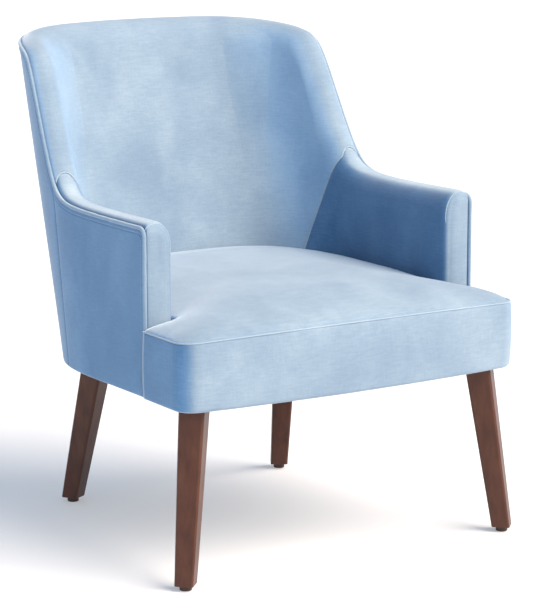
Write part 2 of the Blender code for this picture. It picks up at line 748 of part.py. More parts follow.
def turned(name, x, y, profile, kind, sides):
    """Round piece from (radius, height) points, first and last on its axis."""
    bm = bmesh.new()
    rows = []
    for radius, z in profile[1:-1]:
        angles = [2 * math.pi * k / sides for k in range(sides)]
        rows.append([bm.verts.new((radius * math.cos(a) + x, radius * math.sin(a) + y, z)) for a in angles])
    for a, b in zip(rows, rows[1:]):
        for i in range(sides):
            j = (i + 1) % sides
            bm.faces.new((a[i], a[j], b[j], b[i]))
    bm.faces.new(rows[0])
    bm.faces.new(rows[-1])
    made = from_bmesh(name, bm, kind)
    made.data.shade_smooth()
    made.data.set_sharp_from_angle(angle=math.radians(35))
    return made


def make_glide(name, x, y):
    step = GLIDE_HEIGHT * 0.45
    profile = [
        (0, 0),
        (GLIDE_RADIUS * 0.94, 0),
        (GLIDE_RADIUS, 0.0008),
        (GLIDE_RADIUS, step),
        (GLIDE_NECK, step),
        (GLIDE_NECK, GLIDE_HEIGHT),
        (NAIL_RADIUS, GLIDE_HEIGHT),
        (NAIL_RADIUS, GLIDE_HEIGHT + NAIL_LENGTH),
        (0, GLIDE_HEIGHT + NAIL_LENGTH),
    ]
    turned(name, x, y, profile, "plastic", 12)


def make_plate_and_bolt(name, x, y, turn):
    outline = [(p.x + x, p.y + y) for p in square(PLATE, LEG_CHAMFER, turn)]
    plate = slab(f"leg_plate_{name}", outline, PLATE_Z, RAIL_Z - GAP, "steel")
    drill(plate, x, y, PLATE_Z - BOARD, RAIL_Z + BOARD, BOLT_RADIUS + 2 * GAP)
    low, high = LEG_TOP_Z - BOLT_IN_LEG, RAIL_Z + BOLT_IN_BLOCK
    profile = [(0, low), (BOLT_RADIUS * 0.6, low), (BOLT_RADIUS, low + BOLT_RADIUS)]
    profile += [(BOLT_RADIUS, high), (0, high)]
    turned(f"hanger_bolt_{name}", x, y, profile, "steel", 10)


make_rails()
make_posts_and_arm_rails()
make_corner_blocks()
make_springs()
make_webbing()
make_dust_cover()
make_legs()
make_outside_covers()
make_inner_covers_and_foam()
make_arm_fronts()
make_welt()
make_seat()
make_seat_border()
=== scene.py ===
# %% [markdown]
# # A curved armchair in velvet
# Arms and back are one padded wall that wraps round a T-shaped seat, on four splayed,
# tapered legs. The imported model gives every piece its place. This lesson sews the covers,
# turns the legs and lights the chair. Metres throughout; the chair faces -Y, +Z is up.

# %% Load the model
import math

import bmesh
import bpy
import numpy as np
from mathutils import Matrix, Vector, noise
from mathutils.bvhtree import BVHTree
from mathutils.geometry import delaunay_2d_cdt


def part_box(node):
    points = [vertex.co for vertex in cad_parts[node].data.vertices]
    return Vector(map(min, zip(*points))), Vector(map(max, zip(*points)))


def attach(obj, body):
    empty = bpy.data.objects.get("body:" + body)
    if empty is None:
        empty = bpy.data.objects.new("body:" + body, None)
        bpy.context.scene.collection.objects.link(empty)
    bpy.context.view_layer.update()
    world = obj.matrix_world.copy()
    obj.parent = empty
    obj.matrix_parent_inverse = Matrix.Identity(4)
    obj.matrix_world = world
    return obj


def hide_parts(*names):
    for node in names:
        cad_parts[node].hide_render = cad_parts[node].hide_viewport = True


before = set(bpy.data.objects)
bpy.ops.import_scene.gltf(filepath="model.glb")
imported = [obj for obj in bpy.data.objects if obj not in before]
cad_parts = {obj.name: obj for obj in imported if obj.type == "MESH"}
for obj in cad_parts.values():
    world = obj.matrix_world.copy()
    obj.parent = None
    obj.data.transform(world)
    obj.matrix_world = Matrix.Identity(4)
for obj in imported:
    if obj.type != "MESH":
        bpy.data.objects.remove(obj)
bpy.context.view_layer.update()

# %% [markdown]
# ## The wall's shape
# The outer face is a plan outline that grows backwards with height, a superellipse, so its
# rear corners are soft but not round. A place in the wall is named by u, from the front of
# an arm (0) to the middle of the back (1), by its depth in from the outer face and by its
# height. The model's boxes give the sizes, and the few shape numbers are the maker's.

# %% Sizes from the model
seat_low, seat_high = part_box("seat_cover")
wall_low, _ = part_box("outside_back_cover")
WIDTH = seat_high.x - seat_low.x
SEAT_FRONT = seat_low.y
SEAM_Z = seat_low.z + 0.0016  # the seat's seam, above the edge of its cover
BODY_Z = wall_low.z
REAR_TOP = 0.384
REAR_LEAN = 0.184  # how far the back's foot stands ahead of its top
REAR_BULGE = 0.078
SIDE_TAPER = 0.023  # how much each side draws in per metre of height
CORNER_PACE = 1.8  # how quickly u runs through the rear corner
SQUARE_LOW, SQUARE_GAIN = 2.65, 0.95  # the outline's power at its foot, and its rise to the top
CROWN = 0.010
TOP_Z = 0.824
TOP_SLOPE = 0.088  # of the welt over the back, towards the rear
TOP_BEND, ARM_BEND = 0.021, 0.039  # how widely the welt turns into the back, and off the arm
ARM_FRONT = SEAT_FRONT + 0.146
ARM_X = WIDTH / 2 - 0.0025
ARM_LENGTH = 0.178
ARM_Z = SEAM_Z + 0.164
ARM_FALL = 0.028  # slope of the arm's welt
ARM_ROUND = 0.014
ARM_BACK = REAR_TOP - 0.300  # where the arm's line starts to climb
CLIMB = 2.13  # slope of the welt up the side of the back
CORNER_Y = ARM_FRONT + ARM_LENGTH
REAR_FOOT = REAR_TOP - REAR_LEAN
ARM_SHARE = 0.24
WALL = 0.056
PER_U = 0.62  # metres along the wall for one step of u
WELT = 0.0034
ROLL_START = 2 * WELT + 0.0003
TUCK_Z = SEAM_Z - 0.015
SEAM_U = 0.447
SEAM_FOOT = 0.62
print(f"seat {WIDTH:.3f} wide, seam at {SEAM_Z:.3f}, body from {BODY_Z:.3f}")


# %% The outer face
def rear_y(z):
    s = (z - BODY_Z) / (TOP_Z - BODY_Z)
    return REAR_FOOT + (REAR_TOP - REAR_FOOT) * s * (1 + REAR_BULGE * (1 - s))


def plan_point(u, z):
    half = WIDTH / 2 - SIDE_TAPER * (z - BODY_Z)
    if u < ARM_SHARE:
        s = u / ARM_SHARE
        return ARM_X + (half - ARM_X) * max(s, 0), ARM_FRONT + ARM_LENGTH * s
    w = (u - ARM_SHARE) / (1 - ARM_SHARE)
    near, far = w**CORNER_PACE, max(1 - w, 0) ** CORNER_PACE
    angle = 0.5 * math.pi * near / (near + far)
    power = 2 / (SQUARE_LOW + SQUARE_GAIN * (z - BODY_Z) / (TOP_Z - BODY_Z))
    x = half * max(math.cos(angle), 0) ** power
    return (x if u < 1 else 0.0), CORNER_Y + (rear_y(z) - CORNER_Y) * math.sin(angle) ** power


def wall_point(u, side, depth, z):
    x, y = plan_point(u, z)
    ax, ay = plan_point(u - 0.002, z)
    bx, by = plan_point(min(u + 0.002, 1), z)
    dx, dy = (bx - ax, by - ay) if u < 1 else (-1.0, 0.0)
    length = math.hypot(dx, dy)
    return Vector((side * (x - dy / length * depth), y + dx / length * depth, z))


# %% The welt's line
def edge_line(y):
    """Height of the welt: the arm, the climb and the top, blended at their two bends."""
    arm = ARM_Z - ARM_FALL * (y - ARM_FRONT)
    side = ARM_Z - ARM_FALL * (ARM_BACK - ARM_FRONT) + CLIMB * (y - ARM_BACK)
    top = TOP_Z + TOP_SLOPE * (y - REAR_TOP)
    rising = (arm + side) / 2 + math.hypot((arm - side) / 2, ARM_BEND)
    return (rising + top) / 2 - math.hypot((rising - top) / 2, TOP_BEND)


def solve_edge(u):
    if u <= ARM_SHARE:
        y = plan_point(u, ARM_Z)[1]
        short = max(ARM_ROUND - max(y - ARM_FRONT, 0), 0)
        return edge_line(y) - ARM_ROUND + math.sqrt(ARM_ROUND**2 - short**2)
    low, high = BODY_Z, TOP_Z + CROWN
    for _ in range(40):
        z = (low + high) / 2
        low, high = (z, high) if z < edge_line(plan_point(u, z)[1]) else (low, z)
    return z


EDGE_U = np.concatenate([np.linspace(0, 0.03, 200), np.linspace(0.0302, 1, 1600)])
EDGE_Z = np.array([solve_edge(u) for u in EDGE_U])


def edge_z(u):
    return float(np.interp(u, EDGE_U, EDGE_Z))


def solve_stretch(u):
    """Rise that moves a point by one unit across the sloping edge."""
    if u < ARM_SHARE:
        short = max(ARM_ROUND - plan_point(max(u, 0), ARM_Z)[1] + ARM_FRONT, 0)
        return ARM_ROUND / math.sqrt(ARM_ROUND**2 - 0.97 * short**2)
    before, after = (wall_point(v, 1, 0, edge_z(v)) for v in (u - 0.01, min(u + 0.01, 1)))
    z, step = edge_z(u), 0.01
    rise = (wall_point(u, 1, 0, z + step) - wall_point(u, 1, 0, z - step)) / (2 * step)
    return 1 / rise.cross((after - before).normalized()).length


STRETCH = np.array([solve_stretch(u) for u in EDGE_U])


def stretch(u):
    return float(np.interp(u, EDGE_U, STRETCH))


def u_at(y):
    return (y - ARM_FRONT) / ARM_LENGTH * ARM_SHARE


print(f"welt runs from {edge_z(0.1):.3f} on the arm to {edge_z(1.0):.3f} at the back")

# %% [markdown]
# ## Colour and node helpers
# Finishes are given as the hex colours a maker would match on screen. Blender works in
# linear light, so one function turns them. One more function adds a node with its settings
# and links, which keeps each finish short enough to read.


# %% Helpers for finishes
def linear(hex_colour):
    values = [int(hex_colour[k : k + 2], 16) / 255 for k in (1, 3, 5)]
    return tuple(v / 12.92 if v <= 0.04045 else ((v + 0.055) / 1.055) ** 2.4 for v in values) + (1.0,)


def node(tree, kind, settings=None, **links):
    """Add a node. settings sets its properties, links sets or links its inputs by name."""
    made = tree.nodes.new(kind)
    for name, value in (settings or {}).items():
        setattr(made, name, value)
    for name, value in links.items():
        key = int(name[1:]) if name[1:].isdigit() else name.replace("_", " ")
        socket = made.inputs[key]
        if isinstance(value, bpy.types.NodeSocket):
            tree.links.new(value, socket)
        else:
            socket.default_value = value
    return made


def finish_named(name, **constants):
    """A new material, its node tree and its shader, with the shader's constants set."""
    material = bpy.data.materials.new(name)
    material.use_nodes = True
    tree = material.node_tree
    shader = tree.nodes["Principled BSDF"]
    for key, value in constants.items():
        shader.inputs[key.replace("_", " ")].default_value = value
    return material, tree, shader


def shades(tree, factor, stops):
    """Colour ramp through (place, hex) stops."""
    ramp = node(tree, "ShaderNodeValToRGB", None, Fac=factor)
    while len(ramp.color_ramp.elements) < len(stops):
        ramp.color_ramp.elements.new(0.5)
    for element, (place, colour) in zip(ramp.color_ramp.elements, stops):
        element.position = place
        element.color = linear(colour)
    return ramp.outputs["Color"]


def scaled(tree, x, y, z):
    """Object coordinates through a Mapping node, in repeats per metre."""
    place = node(tree, "ShaderNodeTexCoord").outputs["Object"]
    return node(tree, "ShaderNodeMapping", None, Vector=place, Scale=(x, y, z)).outputs[0]


def cloud(tree, repeats, **settings):
    """Noise with so many repeats per metre along X, Y and Z."""
    place = scaled(tree, *repeats)
    return node(tree, "ShaderNodeTexNoise", None, Vector=place, Scale=1.0, **settings).outputs["Fac"]


def blend(tree, share, first, second):
    """Two numbers mixed, with share of the second."""
    return node(tree, "ShaderNodeMix", {"data_type": "FLOAT"}, Factor=share, _2=first, _3=second).outputs[0]


def paint(tree, share, first, second):
    """Two colours mixed, with share of the second."""
    return node(tree, "ShaderNodeMix", {"data_type": "RGBA"}, _0=share, _6=first, _7=second).outputs[2]


def between(tree, value, low, high):
    """0 up to low and 1 from high, smooth between them."""
    return node(tree, "ShaderNodeMapRange", {"interpolation_type": "SMOOTHSTEP"}, Value=value,
                _1=low, _2=high).outputs[0]


def uneven(tree, shader, pattern, least, most, strength, height):
    """Roughness from least to most, and relief, which both follow a pattern."""
    rough = node(tree, "ShaderNodeMapRange", None, Value=pattern, _3=least, _4=most).outputs[0]
    tree.links.new(rough, shader.inputs["Roughness"])
    bump = node(tree, "ShaderNodeBump", None, Strength=strength, Distance=height, Height=pattern)
    tree.links.new(bump.outputs[0], shader.inputs["Normal"])


# %% [markdown]
# ## Velvet
# Polyester velvet is a cut pile about 1.5 mm high. The pile scatters light at its tips, so
# edges and brushed patches look pale, and it swallows light seen straight on. That is the
# shader's sheen over a rough base. Hands brush the pile, which leaves soft lighter and
# darker patches 30 to 80 mm wide. The tufts are 0.4 mm apart, too fine to show, so they are
# drawn at about 1 mm. The colour also holds painted light and shade: faces turned sideways
# are given a bluer colour, mostly deeper, as painted shade, and faces turned up a paler one, as painted
# light.


# %% Velvet
def make_velvet(name, front, top, side):
    """Shades for faces turned forwards, painted light for faces turned up, painted shade for faces turned
    sideways; each deep, middle and pale.
    """
    material, tree, shader = finish_named(
        name, Roughness=0.82, IOR=1.45, Sheen_Weight=0.9, Sheen_Roughness=0.42,
        Sheen_Tint=linear("#E3EEF8"), Specular_IOR_Level=0.18)
    patches = cloud(tree, (11, 11, 8), Detail=2.0, Roughness=0.5, Distortion=0.4)
    tufts = cloud(tree, (850, 850, 850), Detail=2.0)
    across = cloud(tree, (50, 50, 380), Detail=3.0)
    upright = cloud(tree, (300, 300, 60), Detail=3.0)
    rows = blend(tree, 0.35, across, upright)
    mixed = blend(tree, 0.25, blend(tree, 0.42, patches, rows), tufts)
    # ahead is the velvet's own colour, above is painted light and the third is painted shade.
    ahead, above, side_shade_colour = (shades(tree, mixed, list(zip((0.36, 0.50, 0.64), three)))
                           for three in (front, top, side))
    facing = node(tree, "ShaderNodeSeparateXYZ", None,
                  Vector=node(tree, "ShaderNodeNewGeometry").outputs["Normal"]).outputs
    sideways = node(tree, "ShaderNodeMath", {"operation": "ABSOLUTE"}, _0=facing["X"]).outputs[0]
    # Painted light on upward faces, then painted shade on sideways faces.
    colour = paint(tree, between(tree, facing["Z"], 0.60, 0.96), ahead, above)
    colour = paint(tree, between(tree, sideways, 0.30, 0.85), colour, side_shade_colour)
    tree.links.new(colour, shader.inputs["Base Color"])
    pile = node(tree, "ShaderNodeBump", None, Strength=0.30, Distance=0.0006, Height=tufts).outputs[0]
    brushed = node(tree, "ShaderNodeBump", None, Strength=0.12, Distance=0.0010, Height=rows, Normal=pile)
    tree.links.new(brushed.outputs[0], shader.inputs["Normal"])
    return material


PALE = ("#748AA0", "#8196A9", "#8FA3B4")
# Paler shades that upward faces take: painted light.
PAINTED_TOP_LIGHT = ("#8FA3B4", "#9BAEBD", "#A8B9C6")
# Deeper, bluer shades that sideways faces take: painted shade.
PAINTED_SIDE_SHADE = ("#4D759C", "#5982A9", "#6890B5")
# Bluer shades that the main velvet's sideways faces take: painted shade.
PAINTED_BLUE_SIDE_SHADE = ("#7B9BBC", "#88A7C5", "#96B3CE")
velvet = make_velvet("Velvet_light_blue", PALE, PALE, PAINTED_BLUE_SIDE_SHADE)
# Inside arms: a very deep painted shade on sideways faces, painted light on upward faces.
arm_velvet = make_velvet("Velvet_inner_arm_painted_shade", PALE, PAINTED_TOP_LIGHT, ("#42688E", "#4E749B", "#5C83A8"))
# Outside panels and seat border: painted shade on sideways faces, painted light on upward faces.
side_velvet = make_velvet("Velvet_painted_side_shade", PALE, PAINTED_TOP_LIGHT, PAINTED_SIDE_SHADE)
# Welt: a bluer painted shade on sideways faces, painted light on upward faces.
welt_velvet = make_velvet("Velvet_welt", PALE, PAINTED_TOP_LIGHT, ("#7390AD", "#809CB6", "#8FA9C0"))
# Seam ridges are painted paler all over: a painted highlight.
PAINTED_SEAM_HIGHLIGHT = ("#879DB2", "#94A9BB", "#A1B4C4")
seam_velvet = make_velvet("Velvet_seam_painted_highlight", PAINTED_SEAM_HIGHLIGHT, PAINTED_SEAM_HIGHLIGHT, PAINTED_SEAM_HIGHLIGHT)
print("velvet ready")

# %% [markdown]
# ## The other finishes
# Legs are dark-stained solid wood under a satin lacquer, with long pores along the grain,
# rubbed a little paler in soft patches. The frame is planed beech. The foam is cut
# polyurethane, with cells about 1 mm across. Springs are blued wire, plates and bolts are
# zinc plated, straps are jute, the cloth underneath is black spun-bonded polypropylene,
# and the glides are moulded plastic.


# %% Wood
def make_wood(name, dark, middle, light, along, rough, coat, pore):
    """Grain runs along Z when along is 2, along X when it is 0."""
    material, tree, shader = finish_named(name, IOR=1.5, Coat_Weight=coat, Coat_Roughness=0.28)
    scale = [70.0, 70.0, 70.0]
    scale[along] = 4.0
    grain = cloud(tree, scale, Detail=6.0, Roughness=0.62, Distortion=0.9)
    scale = [620.0, 620.0, 620.0]
    scale[along] = 22.0
    pores = cloud(tree, scale, Detail=2.0)
    colour = shades(tree, blend(tree, pore, grain, pores), [(0.36, dark), (0.50, middle), (0.66, light)])
    tree.links.new(colour, shader.inputs["Base Color"])
    uneven(tree, shader, pores, rough - 0.05, rough + 0.10, 0.25, 0.0004)
    return material, tree, shader, colour


walnut, walnut_tree, walnut_shader, walnut_colour = make_wood(
    "Walnut_satin_lacquer", "#1B0803", "#30120A", "#471D11", 2, 0.38, 0.08, 0.35
)
scuff = cloud(walnut_tree, (60, 60, 25), Detail=4.0)
rubbed = paint(walnut_tree, scuff, walnut_colour, linear("#5E3826"))
walnut_shader.inputs["Specular IOR Level"].default_value = 0.32
walnut_tree.links.new(rubbed, walnut_shader.inputs["Base Color"])
beech = make_wood("Beech_planed", "#B98D60", "#CDA577", "#DDBB90", 0, 0.62, 0.0, 0.45)[0]
print("woods ready")


# %% Foam, straps, cloth, plastic and metals
def make_grained(name, dark, light, spacing, rough, height, metal=0.0, axis_scale=(1, 1, 1)):
    """A finish with one fine pattern, spacing metres across."""
    material, tree, shader = finish_named(name, Metallic=metal, Roughness=rough)
    scale = [s / spacing for s in axis_scale]
    fine = cloud(tree, scale, Detail=3.0)
    broad = cloud(tree, (25, 25, 25), Detail=2.0)
    colour = shades(tree, blend(tree, 0.35, fine, broad), [(0.35, dark), (0.65, light)])
    tree.links.new(colour, shader.inputs["Base Color"])
    uneven(tree, shader, fine, rough - 0.08, rough + 0.08, 0.4, height)
    return material


foam = make_grained("Polyurethane_foam", "#C9BD8F", "#E6DDB8", 0.0012, 0.90, 0.0006)
jute = make_grained("Jute_webbing", "#8A7148", "#B59A6A", 0.0020, 0.88, 0.0008, axis_scale=(1, 1, 0.3))
cambric = make_grained("Spunbond_dust_cloth", "#121214", "#232327", 0.0011, 0.86, 0.0003)
blued = make_grained("Spring_steel_blued", "#2E3034", "#4A4C50", 0.0030, 0.38, 0.00005, metal=1.0)
zinc = make_grained("Zinc_plated_steel", "#9EA1A3", "#C4C6C6", 0.0025, 0.36, 0.00005, metal=1.0)
plastic = make_grained("Moulded_nylon_brown", "#2E1A13", "#3D251B", 0.0009, 0.50, 0.0001)
thread = make_grained("Polyester_thread", "#86A4C2", "#A4BED6", 0.0005, 0.55, 0.0001)
print("fine-grained finishes ready")

# %% [markdown]
# ## Making sheets of cloth
# Every cover starts as a grid of points on the wall. A grid keeps its rows along the seams,
# so it can be pinned there and blown up by the cloth solver, and it stays smooth. Solidify
# then gives the fabric its thickness towards the foam.


# %% Grids
def link(name, mesh, material):
    made = bpy.data.objects.new(name, mesh)
    bpy.context.scene.collection.objects.link(made)
    mesh.materials.clear()
    mesh.materials.append(material)
    mesh.shade_smooth()
    return made


def bake(piece):
    """Make the piece's modifiers part of its mesh."""
    graph = bpy.context.evaluated_depsgraph_get()
    mesh = bpy.data.meshes.new_from_object(piece.evaluated_get(graph))
    piece.modifiers.clear()
    old = piece.data
    piece.data = mesh
    bpy.data.meshes.remove(old)
    return piece


def grid_mesh(name, rows, flip=False, extra=()):
    """Faces between rows of points, and extra ones; a point may be None where there is a gap."""
    index, points = {}, []
    for r, row in enumerate(rows):
        for c, point in enumerate(row):
            if point is not None:
                index[r, c] = len(points)
                points.append(tuple(point))
    quads = [[(r, c), (r, c + 1), (r + 1, c + 1), (r + 1, c)]
             for r in range(len(rows) - 1) for c in range(len(rows[0]) - 1)]
    quads = [quad for quad in quads if all(corner in index for corner in quad)]
    faces = [[index[corner] for corner in quad] for quad in (*quads, *extra)]
    mesh = bpy.data.meshes.new(name)
    mesh.from_pydata(points, [], [face[::-1] for face in faces] if flip else faces)
    return mesh, index


def outward(mesh):
    """Turn every face outwards, judged by the highest one."""
    bm = bmesh.new()
    bm.from_mesh(mesh)
    bmesh.ops.recalc_face_normals(bm, faces=bm.faces)
    if max(bm.faces, key=lambda f: f.calc_center_median().z).normal.z < 0:
        bmesh.ops.reverse_faces(bm, faces=bm.faces)
    bm.to_mesh(mesh)
    bm.free()


def thicken(piece, amount):
    """Give a sheet its thickness, away from its outer side."""
    solid = piece.modifiers.new("thickness", "SOLIDIFY")
    solid.thickness = amount
    solid.offset = -1.0
    solid.use_even_offset = False
    return bake(piece)


# %% [markdown]
# ## Cloth simulation
# A padded cover is fabric pulled over foam and held at its seams. The solver plays that
# out: edges are pinned, the cloth is cut a little too large, and pressure from inside lifts
# it. The lift is capped, so a cover stays close to its foam and clear of its neighbours.


# %% Puff up a cover
def puff(piece, pinned, pressure, cap, spare=0.0015, frames=14):
    group = piece.vertex_groups.new(name="sewn")
    group.add(sorted(pinned), 1.0, "REPLACE")
    before = np.empty(len(piece.data.vertices) * 3)
    piece.data.vertices.foreach_get("co", before)
    cloth = piece.modifiers.new("cloth", "CLOTH")
    settings = cloth.settings
    settings.quality = 4
    settings.mass = 0.3
    settings.use_pressure = True
    settings.uniform_pressure_force = pressure
    settings.shrink_min = -spare
    settings.vertex_group_mass = "sewn"
    settings.bending_stiffness = 4.0
    settings.effector_weights.gravity = 0
    cloth.collision_settings.use_collision = False
    cloth.point_cache.frame_start, cloth.point_cache.frame_end = 1, frames
    scene = bpy.context.scene
    for step in range(1, frames + 1):
        scene.frame_set(step)
    graph = bpy.context.evaluated_depsgraph_get()
    evaluated = piece.evaluated_get(graph).data
    after = np.empty_like(before)
    evaluated.vertices.foreach_get("co", after)
    piece.modifiers.clear()
    scene.frame_set(1)
    move = (after - before).reshape(-1, 3)
    edges = np.empty(len(piece.data.edges) * 2, dtype=int)
    piece.data.edges.foreach_get("vertices", edges)
    a, b = edges.reshape(-1, 2).T
    fixed = np.zeros(len(move), dtype=bool)
    fixed[sorted(pinned)] = True
    number = np.bincount(edges, minlength=len(move))[:, None]
    for _ in range(30):  # velvet over foam keeps broad swells, not small creases
        total = np.stack([np.bincount(a, move[b, k], len(move)) + np.bincount(b, move[a, k], len(move))
                          for k in range(3)], 1)
        move = np.where(fixed[:, None], move, 0.4 * move + 0.6 * total / number)
    length = np.linalg.norm(move, axis=1, keepdims=True)
    move *= np.minimum(1, cap / np.maximum(length, 1e-9))
    piece.data.vertices.foreach_set("co", (before.reshape(-1, 3) + move).ravel())
    piece.data.update()
    piece.vertex_groups.clear()
    print(f"{piece.name}: lifted up to {1000 * min(length.max(), cap):.1f} mm")
    return piece


# %% [markdown]
# ## The padded roll
# Seen end on, the padding rises from the welt over a crest 10 mm high and falls to the
# inner face. inset draws the outline in, which rounds a pad at its seams.


# %% Section of the padding
ARC, DROP_ROWS = 14, 64
CREST = 0.3865  # the crest's place across the roll
ROLL_DROP = 0.030  # extra height of the curve from the crest down to the inner face


def roll(u, inset, low=TUCK_Z, arc=ARC, rows=DROP_ROWS):
    top, ease = edge_z(u), stretch(u)
    left, right = ROLL_START + inset, WALL - inset
    crest = left + (right - left) * CREST
    points = []
    for k in range(arc + 1):
        angle = math.pi * k / arc
        rise = (CROWN - inset) * math.sin(angle)
        if angle <= math.pi / 2:
            points.append((crest - (crest - left) * math.cos(angle), top + rise * ease))
        else:
            rise = CROWN - inset - (CROWN + ROLL_DROP) * (1 - math.sin(angle))
            points.append((crest - (right - crest) * math.cos(angle), top + rise * ease))
    last = points[-1][1]
    points += [(right, last + (low - last) * k / rows) for k in range(1, rows + 1)]
    return points


SEAM_TOP = edge_z(SEAM_U) + 0.002


def inner_depth(u, z, inset):
    """Depth of the padding's inner side at a height."""
    right = WALL - inset
    crest = ROLL_START + inset + (right - ROLL_START - inset) * CREST
    sine = 1 - (CROWN - inset - (z - edge_z(u)) / stretch(u)) / (CROWN + ROLL_DROP)
    return crest + (right - crest) * math.sqrt(1 - min(max(sine, 0), 1) ** 2)


def slant(u, z):
    """The inner seam leans back on its way down to the seat."""
    if u < ARM_SHARE:
        return u
    share = min(max((SEAM_TOP - z) / (SEAM_TOP - SEAM_Z), 0), 1)
    seam = SEAM_U + (SEAM_FOOT - SEAM_U) * share
    if u < SEAM_U:
        return ARM_SHARE + (u - ARM_SHARE) * (seam - ARM_SHARE) / (SEAM_U - ARM_SHARE)
    return 1 - (1 - u) * (1 - seam) / (1 - SEAM_U)


FABRIC = 0.0012
WAVER = 0.0012  # how far the padding strays from its even surface


def seam_roll(distance, radius=0.008, depth=0.0019):
    """How far a pad draws in near a seam."""
    if distance >= radius:
        return 0.0
    return depth * (1 - math.sqrt(max(1 - (1 - distance / radius) ** 2, 0)))


# %% Inside back
def inside_column(u, side, pad_side):
    """One line of points across the padding, at a place along the wall."""
    column = []
    away = abs(u - SEAM_U) * PER_U
    inset = seam_roll(away)
    for k, (depth, z) in enumerate(roll(u, inset)):
        v = slant(u, z) if k > ARC // 2 else u
        if v != u:
            depth = inner_depth(v, z, inset)
        waver = noise.noise(Vector((v * 9 * side, z * 14, pad_side))) * WAVER
        waver *= min(away / 0.05, 1) * min(k / 10, 1)
        column.append(wall_point(v, side, depth + waver, z))
    return column


def spread(first, last, step, ends=(0.0, 0.0015, 0.004, 0.008, 0.013)):
    """Places from first to last, closer together at both ends."""
    inner = [first + e for e in ends] + [last - e for e in reversed(ends)]
    count = max(int((last - first) / step), 2)
    middle = [first + (last - first) * k / count for k in range(count + 1)]
    margin = ends[-1] + step / 2
    return sorted(set(inner) | {m for m in middle if first + margin < m < last - margin})


def ease_columns(columns, times=10):
    """Even out the tight inner corners, where the offset outline bunches up."""
    grid = np.array([[tuple(p) for p in column] for column in columns])
    for _ in range(times):
        moved = (grid[:-2, ARC:] + grid[2:, ARC:]) / 2 - grid[1:-1, ARC:]
        fade = np.minimum(np.arange(moved.shape[1]) / 8, 1)[None, :, None]
        place = np.arange(len(moved))
        ends = np.minimum(np.minimum(place, place[::-1]) / 6, 1)[:, None, None]
        grid[1:-1, ARC:] += moved * 0.5 * fade * ends
    return [[Vector(p) for p in column] for column in grid.tolist()]


half = spread(SEAM_U + 0.0006, 1.0, 0.0072)
half = [u for u in half if u < 0.985] + [0.9925, 1.0]
columns = [inside_column(u, 1, 0.0) for u in half]
columns += [inside_column(u, -1, 0.0) for u in reversed(half[:-1])]
columns = ease_columns(columns)
mesh, index = grid_mesh("inside_back", columns)
inside_back = link("inside_back", mesh, velvet)
held = {i for (r, c), i in index.items() if r in (0, len(columns) - 1) or c == 0 or c >= ARC + DROP_ROWS - 8}
count = len(mesh.vertices)
thicken(inside_back, FABRIC)
held |= set(range(count, len(inside_back.data.vertices)))
puff(inside_back, held, 4.0, 0.006)
print("inside back", len(inside_back.data.polygons), "faces")

# %% [markdown]
# ## The arms
# The same fabric runs over the top of the arm, down inside and softly round its front. The
# front is a rounded end: rings of the roll's section, drawn in further and further, close
# it like the end of a bolster. A curved seam joins the top strip to the front.

# %% Inside arms
FRONT_REACH = 0.0112  # radius of the front's edge
FRONT_MIDDLE = 0.0236  # inset at which the front closes along its middle
FRONT_DOME = 0.0022


def end_ring(inset, y, side):
    """Whole section of the arm's padded front at one place."""
    u = u_at(max(y, ARM_FRONT))
    section = roll(u_at(ARM_FRONT + ARM_ROUND), inset)
    left, right = ROLL_START + inset, WALL - inset
    reach = (right - left) * CREST
    snug = 0.93 * inset * min((FRONT_MIDDLE - inset) / (FRONT_MIDDLE - FRONT_REACH), 1)
    share = [min(max(1 - (d - left) / reach, 0), 1) for d, _ in section]
    section = [(d - snug * w, z + inset * (math.sqrt(1 - w * w) - 1 + 0.15 * w))
               for w, (d, z) in zip(share, section)]
    depth0, z0 = section[0]
    upright = [(depth0, TUCK_Z + (z0 - TUCK_Z) * k / DROP_ROWS) for k in range(DROP_ROWS)]
    ring = []
    for depth, z in upright + section:
        point = wall_point(u, side, depth, z)
        point.y = y
        ring.append(point)
    return ring


def make_arm(side, word):
    rings = []
    for k in range(6):  # flat, slightly domed front
        share = k / 6
        inset = FRONT_MIDDLE + (FRONT_REACH - FRONT_MIDDLE) * share
        rings.append(end_ring(inset, ARM_FRONT - FRONT_DOME * math.cos(share * math.pi / 2) ** 0.7, side))
    for k in range(9):  # rounded edge
        angle = math.pi / 2 * k / 8
        inset = FRONT_REACH * (1 - math.sin(angle))
        rings.append(end_ring(inset, ARM_FRONT + FRONT_REACH * (1 - math.cos(angle)), side))
    cap_rings = len(rings)
    gap = [None] * DROP_ROWS
    start = u_at(ARM_FRONT + FRONT_REACH)
    places = spread(start, SEAM_U - 0.0006, 0.0068)[1:]
    for column in ease_columns([inside_column(u, side, 1.0 + side) for u in places]):
        rings.append(gap + column)
    width = len(rings[0])
    middle = [[(0, width - 1 - c), (0, width - 2 - c), (0, c + 1), (0, c)] for c in range(width // 2 - 1)]
    mesh, index = grid_mesh(f"inside_arm_{word}", rings, flip=side > 0, extra=middle)
    outward(mesh)
    # This velvet holds painted shade on the sideways inner face and painted light on the top.
    piece = link(f"inside_arm_{word}", mesh, arm_velvet)
    held = {i for (r, c), i in index.items()
            if r == len(rings) - 1 or c < DROP_ROWS + 1 or c >= width - 8 or r < cap_rings + 1}
    count = len(mesh.vertices)
    thicken(piece, FABRIC)
    held |= set(range(count, len(piece.data.vertices)))
    puff(piece, held, 3.0, 0.004)
    print(piece.name, len(piece.data.polygons), "faces")
    return piece


inside_arms = {word: make_arm(side, word) for side, word in ((1, "left"), (-1, "right"))}

